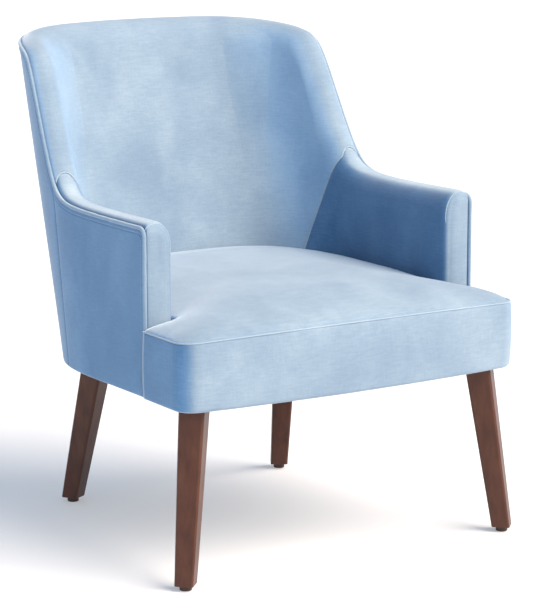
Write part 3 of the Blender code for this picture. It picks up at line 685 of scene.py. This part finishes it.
# %% Strips under the arm seams
# Where arm meets back, a folded edge of the same fabric fills the bottom of the seam.
# Its velvet is painted paler all over, a painted highlight along the seam.
def seam_strip(side, word):
    path = []
    sunk = 0.0010
    for k, (depth, z) in enumerate(roll(SEAM_U, sunk, arc=20)):
        v = slant(SEAM_U, z) if k > 10 else SEAM_U
        depth = depth if v == SEAM_U else inner_depth(v, z, sunk)
        path.append(wall_point(v, side, depth, z))
    return tube(f"seam_strip_{word}", path, 0.0016, 10, seam_velvet, 0.1)


def front_seam(side, word):
    """The ridge where the arm's top strip is sewn to its front."""
    angle = math.pi / 2 * 0.50
    inset = FRONT_REACH * (1 - math.sin(angle)) + 0.0001
    ring = end_ring(inset, ARM_FRONT + FRONT_REACH * (1 - math.cos(angle)), side)
    path = ring[DROP_ROWS : DROP_ROWS + ARC + 9]
    for k, point in enumerate(path):  # it sinks into the pad below the arm's shoulder
        point.x += side * 0.0030 * max((k - ARC) / 8, 0) ** 1.5
    # The painted highlight velvet, as on the other seams.
    return tube(f"front_seam_{word}", path, 0.0010, 10, seam_velvet, 0.1)


# %% [markdown]
# ## Outside panels
# The outside is plain fabric over card, pulled tight. A folded edge 7 mm wide runs beside
# the welt, under which it starts, and is stitched down, and the bottom edge turns under the frame.

# %% Outside arms and back
BAND = 0.0072
BAND_DROPS = (0.0, 0.0010, 0.0022, 0.0036, 0.0050, 0.0062, 0.0067, BAND, 0.0076, 0.0082, 0.0094,
              0.012, 0.016)
TUCKED = 0.62 * WELT  # how far below the welt's middle the fold starts
TURN = 0.0045
PANEL_ROWS = 46
HEM = 0.0004  # the turned-under edge lies this far above the body's bottom
GROOVE, GROOVE_WIDTH = 0.0009, 0.0007
FOLDED = 0.0005  # depth of the fold's face
UNDER_WELT, UNDER_WIDTH = 0.0010, 0.0025


def turned_under(face, turn, last):
    """A quarter round from a panel's face to its edge under the frame."""
    points = []
    for k in range(1, 6):
        angle = math.pi / 2 * k / 5
        depth = face + (turn - face) * (1 - math.cos(angle))
        points.append((depth, BODY_Z + turn - (turn - HEM) * math.sin(angle)))
    return points + [(last, BODY_Z + HEM)]


def outside_section(u):
    """Depth and height from the welt down to the turned-under bottom."""
    ease = stretch(u)
    top = edge_z(u) - TUCKED * ease
    points = []
    for drop in BAND_DROPS:
        groove = GROOVE * math.exp(-(((drop - BAND) / GROOVE_WIDTH) ** 2))
        folded = FOLDED if drop < BAND else FABRIC
        edge = UNDER_WELT * max(1 - drop / UNDER_WIDTH, 0)
        points.append((groove + folded + edge, top - drop * ease))
    last = points[-1][1]
    low = BODY_Z + TURN
    for k in range(1, PANEL_ROWS + 1):
        share = k / PANEL_ROWS
        points.append((FABRIC - 0.0006 * math.sin(math.pi * share), last + (low - last) * share))
    return points + turned_under(FABRIC, TURN, 0.0090)


def outside_column(u, side, seam_ends):
    away = min(abs(u - end) for end in seam_ends) * PER_U
    tuck = seam_roll(away, 0.006, 0.0016)
    return [wall_point(u, side, depth + tuck, z) for depth, z in outside_section(u)]


def outside_piece(name, columns, flip):
    mesh, _ = grid_mesh(name, columns, flip=flip)
    piece = link(name, mesh, side_velvet)
    return thicken(piece, 0.0010)


ends = (0.0, 0.0012, 0.0025, 0.0045, 0.007)
front_u = u_at(ARM_FRONT + TUCKED)
outside = {}
for side, word in ((1, "left"), (-1, "right")):
    places = spread(front_u, SEAM_U - 0.0004, 0.008, ends)
    rows = [outside_column(u, side, (SEAM_U, front_u - 0.004)) for u in places]
    outside[word] = outside_piece(f"outside_arm_{word}", rows, flip=side < 0)
half = [u for u in spread(SEAM_U + 0.0004, 1.0, 0.008, ends) if u < 0.99] + [1.0]
rows = [outside_column(u, 1, (SEAM_U,)) for u in half]
rows += [outside_column(u, -1, (SEAM_U,)) for u in reversed(half[:-1])]
outside["back"] = outside_piece("outside_back", rows, flip=False)
print("outside panels", sum(len(o.data.polygons) for o in outside.values()), "faces")

# %% [markdown]
# ## The welt
# A welt is a cord in a bias strip of the same velvet. One runs from the foot of one arm's
# front, along the arm, up and round the back and down the other side. A tube follows the
# path, its ring of points turned along with it, and swells and tightens a little where the
# fabric is pulled round the cord.


# %% Tubes along a path
def capped(name, rows, material):
    """Rings joined one to the next and closed at both ends."""
    bm = bmesh.new()
    made = [[bm.verts.new(p) for p in row] for row in rows]
    for a, b in zip(made, made[1:]):
        for n in range(len(a)):
            m = (n + 1) % len(a)
            bm.faces.new((a[n], a[m], b[m], b[n]))
    bm.faces.new(made[0][::-1])
    bm.faces.new(made[-1])
    bmesh.ops.recalc_face_normals(bm, faces=bm.faces)
    mesh = bpy.data.meshes.new(name)
    bm.to_mesh(mesh)
    bm.free()
    return link(name, mesh, material)


def tube(name, path, radius, sides, material, swell=0.0):
    points = [Vector(p) for p in path]
    tangent = (points[1] - points[0]).normalized()
    across = tangent.orthogonal().normalized()
    rows = []
    for k, point in enumerate(points):
        ahead = points[min(k + 1, len(points) - 1)] - points[max(k - 1, 0)]
        ahead.normalize()
        across = (across - ahead * across.dot(ahead)).normalized()
        other = ahead.cross(across)
        size = radius * (1 + swell * noise.noise(point * 55))
        row = []
        for n in range(sides):
            angle = 2 * math.pi * n / sides
            row.append(point + (across * math.cos(angle) + other * math.sin(angle)) * size)
        rows.append(row)
    return capped(name, rows, material)


def mirrored(points):
    """A path up one side and down the other."""
    return points + [Vector((-p.x, p.y, p.z)) for p in reversed(points[:-1])]


def along_edge(depth, drop, first, last, count):
    places = [first + (last - first) * k / count for k in range(count + 1)]
    return [wall_point(u, 1, depth, edge_z(u) - drop * stretch(u)) for u in places]


seam_strips = [seam_strip(1, "left"), seam_strip(-1, "right"), front_seam(1, "left"), front_seam(-1, "right")]
foot = wall_point(0, 1, WELT, BODY_Z + 0.0005)
lift = edge_z(0.0) - BODY_Z
up = [foot + Vector((0, 0, lift * k / 70)) for k in range(70)]
corner = [u_at(ARM_FRONT + ARM_ROUND * (1 - math.cos(a * math.pi / 20))) for a in range(11)]
run = [wall_point(u, 1, WELT, edge_z(u)) for u in corner]
run += along_edge(WELT, 0, corner[-1] + 0.004, 1.0, 260)
welt = tube("welt", mirrored(up + run), WELT, 14, welt_velvet, 0.10)
print("welt", len(welt.data.polygons), "faces")

# %% [markdown]
# ## The seat
# The seat is T-shaped: full width ahead of the arms, then narrower between them. Its top is
# crowned foam under tight velvet. Near a free edge it rolls down to the seam; against the
# arms and back it stays high and tucks in. The crown is worked out point by point from the
# distance to each kind of edge, then the cover is puffed up as cloth.


# %% Outline of the seat
SEAT_CORNER = 0.035
BOW = 0.014
FRONT_STEPS, CORNER_STEPS, SIDE_STEPS, BACK_STEPS, WALL_STEPS = 60, 16, 14, 10, 109


def seat_outline(inset):
    """Points round half the seat from the middle of its front, with True where it is free."""
    turn_x, turn_y = WIDTH / 2 - SEAT_CORNER, SEAT_FRONT + BOW + SEAT_CORNER
    half = []
    for k in range(FRONT_STEPS):
        share = k / FRONT_STEPS
        half.append((turn_x * share, SEAT_FRONT + inset + BOW * share**2, True))
    radius = SEAT_CORNER - inset
    for k in range(CORNER_STEPS + 1):
        angle = math.pi / 2 * k / CORNER_STEPS
        half.append((turn_x + radius * math.sin(angle), turn_y - radius * math.cos(angle), True))
    back_edge = ARM_FRONT - WELT - 0.0008 - inset
    outer, inner = WIDTH / 2 - inset, WALL + FABRIC + inset
    for k in range(1, SIDE_STEPS + 1):
        half.append((outer, turn_y + (back_edge - turn_y) * k / SIDE_STEPS, True))
    for k in range(1, BACK_STEPS + 1):
        half.append((outer + (ARM_X - inner - outer) * k / BACK_STEPS, back_edge, False))
    for k in range(WALL_STEPS + 1):
        p = wall_point(0.004 + 0.996 * k / WALL_STEPS, 1, inner, TUCK_Z + 0.02)
        half.append((p.x, p.y, False))
    half[-1] = (0.0, half[-1][1], False)
    return half


def whole_outline(inset):
    half = seat_outline(inset)
    return half + [(-x, y, free) for x, y, free in reversed(half[1:-1])]


outline = whole_outline(0.0)
free_edge = np.array([(x, y) for x, y, free in outline if free])
held_edge = np.array([(x, y) for x, y, free in outline if not free])
print("seat outline", len(outline), "points")

# %% Height of the seat
SHOULDER = 0.034  # reach of the roll at a free edge
EDGE_RISE, CROWN_RISE, MIDDLE_RISE = 0.0135, 0.0265, 0.004
CROWN_REACH = 0.075
CROWN_HALF, CROWN_POWER = 0.335, 2.4  # the crown's fall towards the sides
BACK_FALL, BACK_START, BACK_REACH = 0.32, -0.16, 0.30
TUCK_DROP, TUCK_REACH = 0.010, 0.020
SEAM_BOW = 0.006


def seat_height(x, y):
    place = np.array((x, y))
    to_free = np.sqrt(((free_edge - place) ** 2).sum(1).min())
    to_held = np.sqrt(((held_edge - place) ** 2).sum(1).min())
    shoulder = math.sqrt(1 - (1 - min(to_free / SHOULDER, 1)) ** 2)
    across = max(1 - abs(x / CROWN_HALF) ** CROWN_POWER, 0)
    back = 1 - BACK_FALL * min(max((y - BACK_START) / BACK_REACH, 0), 1) ** 1.6
    gentle = (1 - math.exp(-to_free / CROWN_REACH)) * across * back
    tuck = TUCK_DROP * max(1 - to_held / TUCK_REACH, 0) ** 2
    return CROWN_RISE * gentle + (EDGE_RISE + MIDDLE_RISE * across - tuck) * shoulder


def seam_rise(x):
    return SEAM_BOW * max(1 - (x / (WIDTH / 2)) ** 2, 0)


rim = [Vector((x, y)) for x, y, _ in whole_outline(0.0006)]
rim_points = np.array([tuple(p) for p in rim])
rim_next = np.roll(rim_points, -1, 0)


def inside_rim(x, y):
    """Count the rim's edges to the right of a place: an odd number means inside."""
    above = (rim_points[:, 1] > y) != (rim_next[:, 1] > y)
    with np.errstate(divide="ignore", invalid="ignore"):
        cross = rim_points[:, 0] + (y - rim_points[:, 1]) / (rim_next[:, 1] - rim_points[:, 1]) * (
            rim_next[:, 0] - rim_points[:, 0])
    return np.count_nonzero(above & (x < cross)) % 2 == 1


CELL = 0.0052
SEAT_DEPTH, HALF_CELLS = 0.62, 64
flat = list(rim)
for row in range(int(SEAT_DEPTH / CELL)):
    for step in range(-HALF_CELLS, HALF_CELLS + 1):
        x = (step + (row % 2) / 2) * CELL
        y = SEAT_FRONT + row * CELL
        gaps = ((rim_points - (x, y)) ** 2).sum(1).min()
        if gaps > (0.55 * CELL) ** 2 and inside_rim(x, y):
            flat.append(Vector((x, y)))
flat, _, triangles, *_ = delaunay_2d_cdt(flat, [], [list(range(len(rim)))], 1, 1e-7)
rim_count = len(rim)
flat = np.array([tuple(p) for p in flat])
triangles = np.array(triangles)
edges = np.concatenate([triangles[:, [0, 1]], triangles[:, [1, 2]], triangles[:, [2, 0]]])
heights = np.array([SEAM_Z + seam_rise(x) + seat_height(x, y) for x, y in flat])
on_rim = np.arange(len(flat)) < rim_count
heights[on_rim] = SEAM_Z + np.array([seam_rise(x) for x, _ in flat[on_rim]]) - 0.0002
near_rim = np.array([np.sqrt(((rim_points - p) ** 2).sum(1).min()) for p in flat])
near_free = np.array([np.sqrt(((free_edge - p) ** 2).sum(1).min()) for p in flat])
give = np.where(on_rim, 0, np.clip(near_free / 0.03, 0.02, 1))
held_rim = on_rim & (near_free > 0.002)
heights[held_rim] = [SEAM_Z + seam_rise(x) + seat_height(x, y) for x, y in flat[held_rim]]
for _ in range(60):  # foam is softer than the sums: even out its creases
    total = np.bincount(edges[:, 0], heights[edges[:, 1]], len(flat)) + np.bincount(
        edges[:, 1], heights[edges[:, 0]], len(flat))
    number = np.bincount(edges.ravel(), minlength=len(flat))
    heights += (total / number - heights) * 0.6 * give
top_points = [(x, y, z) for (x, y), z in zip(flat.tolist(), heights.tolist())]
count = len(top_points)
low_points = [(x * 0.995, y, SEAM_Z - 0.008) for x, y in flat.tolist()]
faces = triangles.tolist() + [[count + i for i in reversed(t)] for t in triangles.tolist()]
after = [(k + 1) % rim_count for k in range(rim_count)]
faces += [(k, n, count + n, count + k) for k, n in enumerate(after)]
mesh = bpy.data.meshes.new("seat_top")
mesh.from_pydata(top_points + low_points, [], faces)
outward(mesh)
seat_top = link("seat_top", mesh, velvet)
held = set(np.nonzero(on_rim)[0].tolist()) | set(range(count, 2 * count))
puff(seat_top, held, 4.0, 0.005)
print("seat top", len(seat_top.data.polygons), "faces, crown at",
      round(max(v.co.z for v in seat_top.data.vertices), 4))

# %% Front border of the seat
BORDER_TOP = ((0.0042, 0.0042), (0.0026, 0.0020), (0.0012, 0.0018), (0.0004, 0.0030), (0.0, 0.0048))
BORDER_TURN, BORDER_ROWS, BORDER_BULGE = 0.0055, 28, 0.0016
half = [(x, y) for x, y, free in seat_outline(0.0) if free]


def border_column(x, y, before, after):
    """From the seam down to the turned-under bottom, bulging a little."""
    tangent = Vector((after[0] - before[0], after[1] - before[1])).normalized()
    inward = Vector((-tangent.y, tangent.x))
    column = [(depth, SEAM_Z + seam_rise(x) - drop) for depth, drop in BORDER_TOP]
    top, low = column[-1][1], BODY_Z + BORDER_TURN
    for k in range(1, BORDER_ROWS + 1):
        share = k / BORDER_ROWS
        column.append((-BORDER_BULGE * math.sin(math.pi * share) ** 0.8, top + (low - top) * share))
    points = []
    for depth, z in column + turned_under(0.0, BORDER_TURN, 0.0095):
        ripple = 0.0007 * noise.noise(Vector((x * 16, y * 16, z * 9)))
        p = Vector((x, y)) + inward * (depth + ripple)
        points.append(Vector((p.x, p.y, z)))
    return points


line = [(-x, y) for x, y in reversed(half[1:])] + half
rows = []
for k, (x, y) in enumerate(line):
    rows.append(border_column(x, y, line[max(k - 1, 0)], line[min(k + 1, len(line) - 1)]))
mesh, _ = grid_mesh("seat_border", rows, flip=True)
seat_border = link("seat_border", mesh, side_velvet)
thicken(seat_border, 0.0010)
ridge = [Vector((x, y, SEAM_Z + seam_rise(x) - 0.0004)) for x, y in line]
# The seat's seam ridge takes the painted highlight velvet too.
seat_ridge = tube("seat_seam_ridge", ridge, 0.0013, 10, seam_velvet, 0.12)
print("seat border", len(seat_border.data.polygons), "faces")

# %% [markdown]
# ## Stitches and staples
# Both repeat at an even spacing along a line, which is work for Geometry Nodes: the line is
# resampled, a short rounded rod is placed at each point, turned along the line, and the
# instances are made real. One tree serves for both, with the spacing and the rod's size as
# inputs. The result is turned into a plain mesh.


# %% A tree that repeats a rod along a line
def repeat_tree():
    tree = bpy.data.node_groups.new("Rods along a line", "GeometryNodeTree")
    face = tree.interface
    face.new_socket("Geometry", in_out="INPUT", socket_type="NodeSocketGeometry")
    for name, value in (("Spacing", 0.004), ("Length", 0.003), ("Radius", 0.0003)):
        socket = face.new_socket(name, in_out="INPUT", socket_type="NodeSocketFloat")
        socket.default_value = value
    face.new_socket("Finish", in_out="INPUT", socket_type="NodeSocketMaterial")
    face.new_socket("Geometry", in_out="OUTPUT", socket_type="NodeSocketGeometry")
    given = node(tree, "NodeGroupInput").outputs
    curve = node(tree, "GeometryNodeMeshToCurve", None, Mesh=given["Geometry"]).outputs[0]
    even = node(tree, "GeometryNodeResampleCurve", {"mode": "LENGTH"}, Curve=curve,
                Length=given["Spacing"]).outputs[0]
    tangent = node(tree, "GeometryNodeInputTangent").outputs[0]
    turn = node(tree, "FunctionNodeAlignRotationToVector", {"axis": "Z"}, Vector=tangent).outputs[0]
    rod = node(tree, "GeometryNodeMeshUVSphere", None, Segments=8, Rings=6, Radius=1.0).outputs[0]
    half_long = node(tree, "ShaderNodeMath", {"operation": "MULTIPLY"}, _0=given["Length"], _1=0.5).outputs[0]
    radius = given["Radius"]
    size = node(tree, "ShaderNodeCombineXYZ", None, X=radius, Y=radius, Z=half_long).outputs[0]
    rod = node(tree, "GeometryNodeTransform", None, Geometry=rod, Scale=size).outputs[0]
    placed = node(tree, "GeometryNodeInstanceOnPoints", None, Points=even, Instance=rod,
                  Rotation=turn).outputs[0]
    real = node(tree, "GeometryNodeRealizeInstances", None, Geometry=placed).outputs[0]
    painted = node(tree, "GeometryNodeSetMaterial", None, Geometry=real, Material=given["Finish"]).outputs[0]
    smooth = node(tree, "GeometryNodeSetShadeSmooth", None, Geometry=painted).outputs[0]
    node(tree, "NodeGroupOutput", None, Geometry=smooth)
    return tree


rods = repeat_tree()


def repeat_along(name, paths, finish, **sizes):
    """Rods along each path, as one plain mesh."""
    points, edges = [], []
    for path in paths:
        start = len(points)
        points += [tuple(p) for p in path]
        edges += [(start + k, start + k + 1) for k in range(len(path) - 1)]
    mesh = bpy.data.meshes.new(name)
    mesh.from_pydata(points, edges, [])
    piece = bpy.data.objects.new(name, mesh)
    bpy.context.scene.collection.objects.link(piece)
    maker = piece.modifiers.new("repeat", "NODES")
    maker.node_group = rods
    sockets = {s.name: s.identifier for s in rods.interface.items_tree if s.in_out == "INPUT"}
    for key, value in {**sizes, "Finish": finish}.items():
        maker[sockets[key]] = value
    piece.update_tag()
    bake(piece)
    print(name, len(piece.data.polygons), "faces")
    return piece


# %% Stitches
band_drop = TUCKED + BAND - 0.0019
band_line = along_edge(0.0003, band_drop, u_at(ARM_FRONT + 0.0190), 1.0, 300)
corner_u, low_z = u_at(ARM_FRONT + band_drop), BODY_Z + 0.012
rise = band_line[0].z - 0.010 - low_z
front_line = [wall_point(corner_u, 1, 0.0006, low_z + rise * k / 60) for k in range(61)]
edge_stitches = repeat_along("edge_stitches", [mirrored(front_line + band_line)], thread,
                             Spacing=0.0042, Length=0.0030, Radius=0.00038)
surface = BVHTree.FromPolygons([v.co for v in seat_top.data.vertices],
                               [tuple(p.vertices) for p in seat_top.data.polygons])
seat_line = []
for x, y, free in seat_outline(0.0042):
    hit = surface.ray_cast(Vector((x, y, 1.0)), Vector((0, 0, -1)))[0]
    if free and hit is not None:
        seat_line.append(hit + Vector((0, 0, 0.0001)))
seat_line = [Vector((-p.x, p.y, p.z)) for p in reversed(seat_line[1:])] + seat_line
seat_stitches = repeat_along("seat_stitches", [seat_line], thread,
                             Spacing=0.0042, Length=0.0030, Radius=0.00034)

# %% [markdown]
# ## Legs and glides
# Each leg is a square taper, 43 mm to 31 mm, with its corners taken off, splayed outwards.
# The model's leg gives its top and its foot, and the grain follows its length. A glide is
# a moulded foot, turned from a profile.


# %% Legs
LEG_STEPS = 24
SAME_PLACE = 0.0008


def leg_section(points, z):
    """The corners of the leg's section at a height, in order round it."""
    ring = points[np.abs(points[:, 2] - z) < 0.0005][:, :2]
    centre = (ring.max(0) + ring.min(0)) / 2
    far = np.linalg.norm(ring - centre, axis=1)
    ring = ring[far > far.max() * 0.985]
    kept = []
    for p in ring[np.argsort(np.arctan2(*(ring - centre).T[::-1]))]:
        if not kept or np.linalg.norm(kept[-1] - p) > SAME_PLACE:
            kept.append(p)
    return kept if np.linalg.norm(kept[0] - kept[-1]) > SAME_PLACE else kept[:-1]


def make_leg(node_name, name):
    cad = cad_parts[node_name]
    points = np.array([cad.matrix_world @ v.co for v in cad.data.vertices])
    low_z, top_z = points[:, 2].min(), points[:, 2].max()
    low, top = (np.array(leg_section(points, z)) for z in (low_z, top_z))
    rows = []
    for k in range(LEG_STEPS + 1):
        share = k / LEG_STEPS
        z = low_z + (top_z - low_z) * share
        rows.append([(x, y, z) for x, y in low + (top - low) * share])
    piece = capped(name, rows, walnut)
    piece.data.set_sharp_from_angle(angle=math.radians(30))
    bevel = piece.modifiers.new("bevel", "BEVEL")
    bevel.width = 0.0009
    bevel.segments = 3
    bevel.limit_method = "ANGLE"
    bevel.angle_limit = math.radians(25)
    bake(piece)
    print(name, len(low), "corners,", len(piece.data.polygons), "faces")
    return piece


LEGS = ("front_left", "front_right", "rear_left", "rear_right")
legs = {place: make_leg(f"leg_{place}", f"leg_wood_{place}") for place in LEGS}


GLIDE_EDGE, GLIDE_TOP = 0.0012, 0.0006


def make_glide(place):
    """A moulded foot with a rounded rim, turned from a profile."""
    near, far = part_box(f"glide_{place}")
    middle, radius = (near + far) / 2, (far.x - near.x) / 2
    profile = [(radius * 0.5, near.z)]
    for k in range(6):
        angle = math.pi / 2 * k / 5
        r = radius - GLIDE_EDGE * (1 - math.sin(angle))
        profile.append((r, near.z + GLIDE_EDGE * (1 - math.cos(angle))))
    profile += [(radius, far.z - GLIDE_TOP), (radius - GLIDE_TOP, far.z)]
    turns = [2 * math.pi * n / 40 for n in range(40)]
    rows = [[(middle.x + r * math.cos(a), middle.y + r * math.sin(a), z) for a in turns] for r, z in profile]
    piece = capped(f"glide_moulded_{place}", rows, plastic)
    piece.data.set_sharp_from_angle(angle=math.radians(40))
    print(piece.name, round(1000 * radius, 1), "mm radius")
    return piece


glides = {place: make_glide(place) for place in LEGS}

# %% Finishes for the model's own pieces
FINISH_BY_WORD = (
    ("glide", plastic), ("hanger_bolt", zinc), ("leg_plate", zinc), ("seat_spring", blued),
    ("back_strap", jute),
    ("foam", foam), ("padding", foam), ("rail", beech), ("post", beech), ("corner_block", beech),
    ("dust", cambric), ("leg_", walnut), ("cover", velvet), ("welt", velvet),
)
for name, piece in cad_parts.items():
    chosen = next(material for word, material in FINISH_BY_WORD if word in name)
    for slot in piece.material_slots:
        slot.material = chosen
print("finishes on", len(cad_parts), "model pieces")

# %% [markdown]
# ## Dust cloth
# A black cloth is stapled under the frame to keep dust in and looks neat from below. It is
# cut round the legs and pulled tight, so it only waves a little between its staples.

# %% Dust cloth
dust_low, dust_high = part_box("dust_cover")
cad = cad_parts["dust_cover"]
bm = bmesh.new()
bm.from_mesh(cad.data)
bmesh.ops.remove_doubles(bm, verts=bm.verts, dist=1e-5)
middle_z = (dust_low.z + dust_high.z) / 2
upper = [f for f in bm.faces if f.calc_center_median().z > middle_z or abs(f.normal.z) < 0.5]
bmesh.ops.delete(bm, geom=upper, context="FACES")
dust_area = sum(f.calc_area() for f in bm.faces)
for _ in range(4):
    bmesh.ops.subdivide_edges(bm, edges=[e for e in bm.edges if e.calc_length() > 0.03], cuts=1,
                              use_grid_fill=True)
    bmesh.ops.triangulate(bm, faces=[f for f in bm.faces if len(f.verts) > 4])
rim = {v for e in bm.edges if e.is_boundary for v in e.verts}
for v in bm.verts:
    if v not in rim:
        v.co.z += 0.0008 * noise.noise(v.co * 18) + 0.0002
    else:
        v.co.z += 0.0004
start = min(rim, key=lambda v: (round(v.co.y, 5), v.co.x))
first = min((e for e in start.link_edges if e.is_boundary), key=lambda e: e.other_vert(start).co.x)
loop, edge = [start], first
while edge.other_vert(loop[-1]) is not start:
    loop.append(edge.other_vert(loop[-1]))
    edge = next(e for e in loop[-1].link_edges if e.is_boundary and e is not edge)
loop = [v.co.copy() for v in loop]
mesh = bpy.data.meshes.new("dust_cloth")
bm.to_mesh(mesh)
bm.free()
dust_cloth = link("dust_cloth", mesh, cambric)
thicken(dust_cloth, -0.0006)
staple_runs, run = [], []
leg_tops = [Vector(((a.x + b.x) / 2, (a.y + b.y) / 2)) for a, b in (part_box(f"leg_plate_{w}") for w in LEGS)]
turned = sum(a.x * b.y - b.x * a.y for a, b in zip(loop, loop[1:] + loop[:1])) > 0
for before, point, after in zip(loop[-1:] + loop[:-1], loop, loop[1:] + loop[:1]):
    ahead = (after - before).to_2d().normalized()
    inward = Vector((-ahead.y, ahead.x)) * (1 if turned else -1)
    place = point.to_2d() + inward * 0.007
    if min((place - top).length for top in leg_tops) > 0.045:
        run.append(Vector((place.x, place.y, dust_low.z - 0.0002)))
    elif run:
        staple_runs.append(run)
        run = []
staple_runs.append(run)
staples = repeat_along("cloth_staples", [r for r in staple_runs if len(r) > 1], zinc,
                       Spacing=0.035, Length=0.010, Radius=0.0006)
print("dust cloth", round(dust_area, 4), "square metres,", len(dust_cloth.data.polygons), "faces")

# %% [markdown]
# ## Onto the model
# Each new piece rides on the chair's one body, and the model's pieces it stands for are
# hidden. The table also gives each a finish name, which the loop does not use.

# %% Ride and replace
ROLES = [
    (inside_back, ("inner_back_cover",), "velvet"),
    (inside_arms["left"], ("inner_arm_cover_left", "arm_front_cover_left"), "velvet"),
    (inside_arms["right"], ("inner_arm_cover_right", "arm_front_cover_right"), "velvet"),
    (outside["left"], ("outside_arm_cover_left",), "velvet"),
    (outside["right"], ("outside_arm_cover_right",), "velvet"),
    (outside["back"], ("outside_back_cover",), "velvet"),
    (welt, ("welt_cord",), "velvet_welt"),
    (seat_top, ("seat_cover", "seat_foam"), "velvet"),
    (seat_border, ("seat_border_cover",), "velvet"),
    (seat_ridge, (), "velvet_welt"),
    (edge_stitches, (), "velvet_welt"),
    (seat_stitches, (), "velvet_welt"),
    (staples, (), "zinc_steel"),
    (dust_cloth, ("dust_cover",), "dust_cloth"),
]
ROLES += [(strip, (), "velvet") for strip in seam_strips]
ROLES += [(legs[place], (f"leg_{place}",), "leg_wood") for place in LEGS]
ROLES += [(glides[place], (f"glide_{place}",), "glide_plastic") for place in LEGS]
for piece, stands_for, slot_name in ROLES:
    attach(piece, "root")
    if stands_for:
        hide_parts(*stands_for)

# %% [markdown]
# ## Floor, light and camera
# A pale floor, lit a little from inside like a light table, runs far behind the chair. A
# broad key light stands high at the front right. A low side light lifts the outside of the
# arm away from it, while the inside of the far arm stays deep blue in the near arm's shade
# and in the painted shade of its velvet. The camera is a long lens, a little above the arms,
# at the chair's front right corner.

# %% Stage
mesh = bpy.data.meshes.new("floor")
reach = 60.0
mesh.from_pydata([(-reach, -reach, -0.0005), (reach, -reach, -0.0005), (reach, reach, -0.0005),
                  (-reach, reach, -0.0005)], [], [(0, 1, 2, 3)])
floor_paint, _, _ = finish_named(
    "Floor_matt_white", Roughness=0.95, Base_Color=linear("#D2D4D8"), Specular_IOR_Level=0.1,
    Emission_Color=linear("#FFFFFF"), Emission_Strength=0.30)
floor = link("floor", mesh, floor_paint)

world = bpy.data.worlds.new("studio")
world.use_nodes = True
sky = world.node_tree.nodes["Background"]
sky.inputs["Color"].default_value = linear("#B4D0F0")
sky.inputs["Strength"].default_value = 0.50
bpy.context.scene.world = world


def sun(name, energy, colour, turn, spread_angle):
    data = bpy.data.lights.new(name, "SUN")
    data.energy = energy
    data.color = linear(colour)[:3]
    data.angle = math.radians(spread_angle)
    made = bpy.data.objects.new(name, data)
    made.rotation_euler = [math.radians(v) for v in turn]
    bpy.context.scene.collection.objects.link(made)


sun("key", 6.3, "#FFEEDC", (46, 0, 37), 54)
sun("side_fill", 0.55, "#E6EEFA", (87, 0, -80), 30)
sun("front_fill", 0.5, "#FFFFFF", (60, 0, -15), 80)

camera_data = bpy.data.cameras.new("camera")
camera_data.sensor_width = 36.0
camera_data.lens = 156.48
camera = bpy.data.objects.new("camera", camera_data)
camera.location = (-2.365, -3.830, 1.281)
camera.rotation_euler = (math.radians(90 - 11.475), 0.0, math.radians(-32.334))
bpy.context.scene.collection.objects.link(camera)
bpy.context.scene.camera = camera
bpy.context.scene.view_settings.view_transform = "Standard"
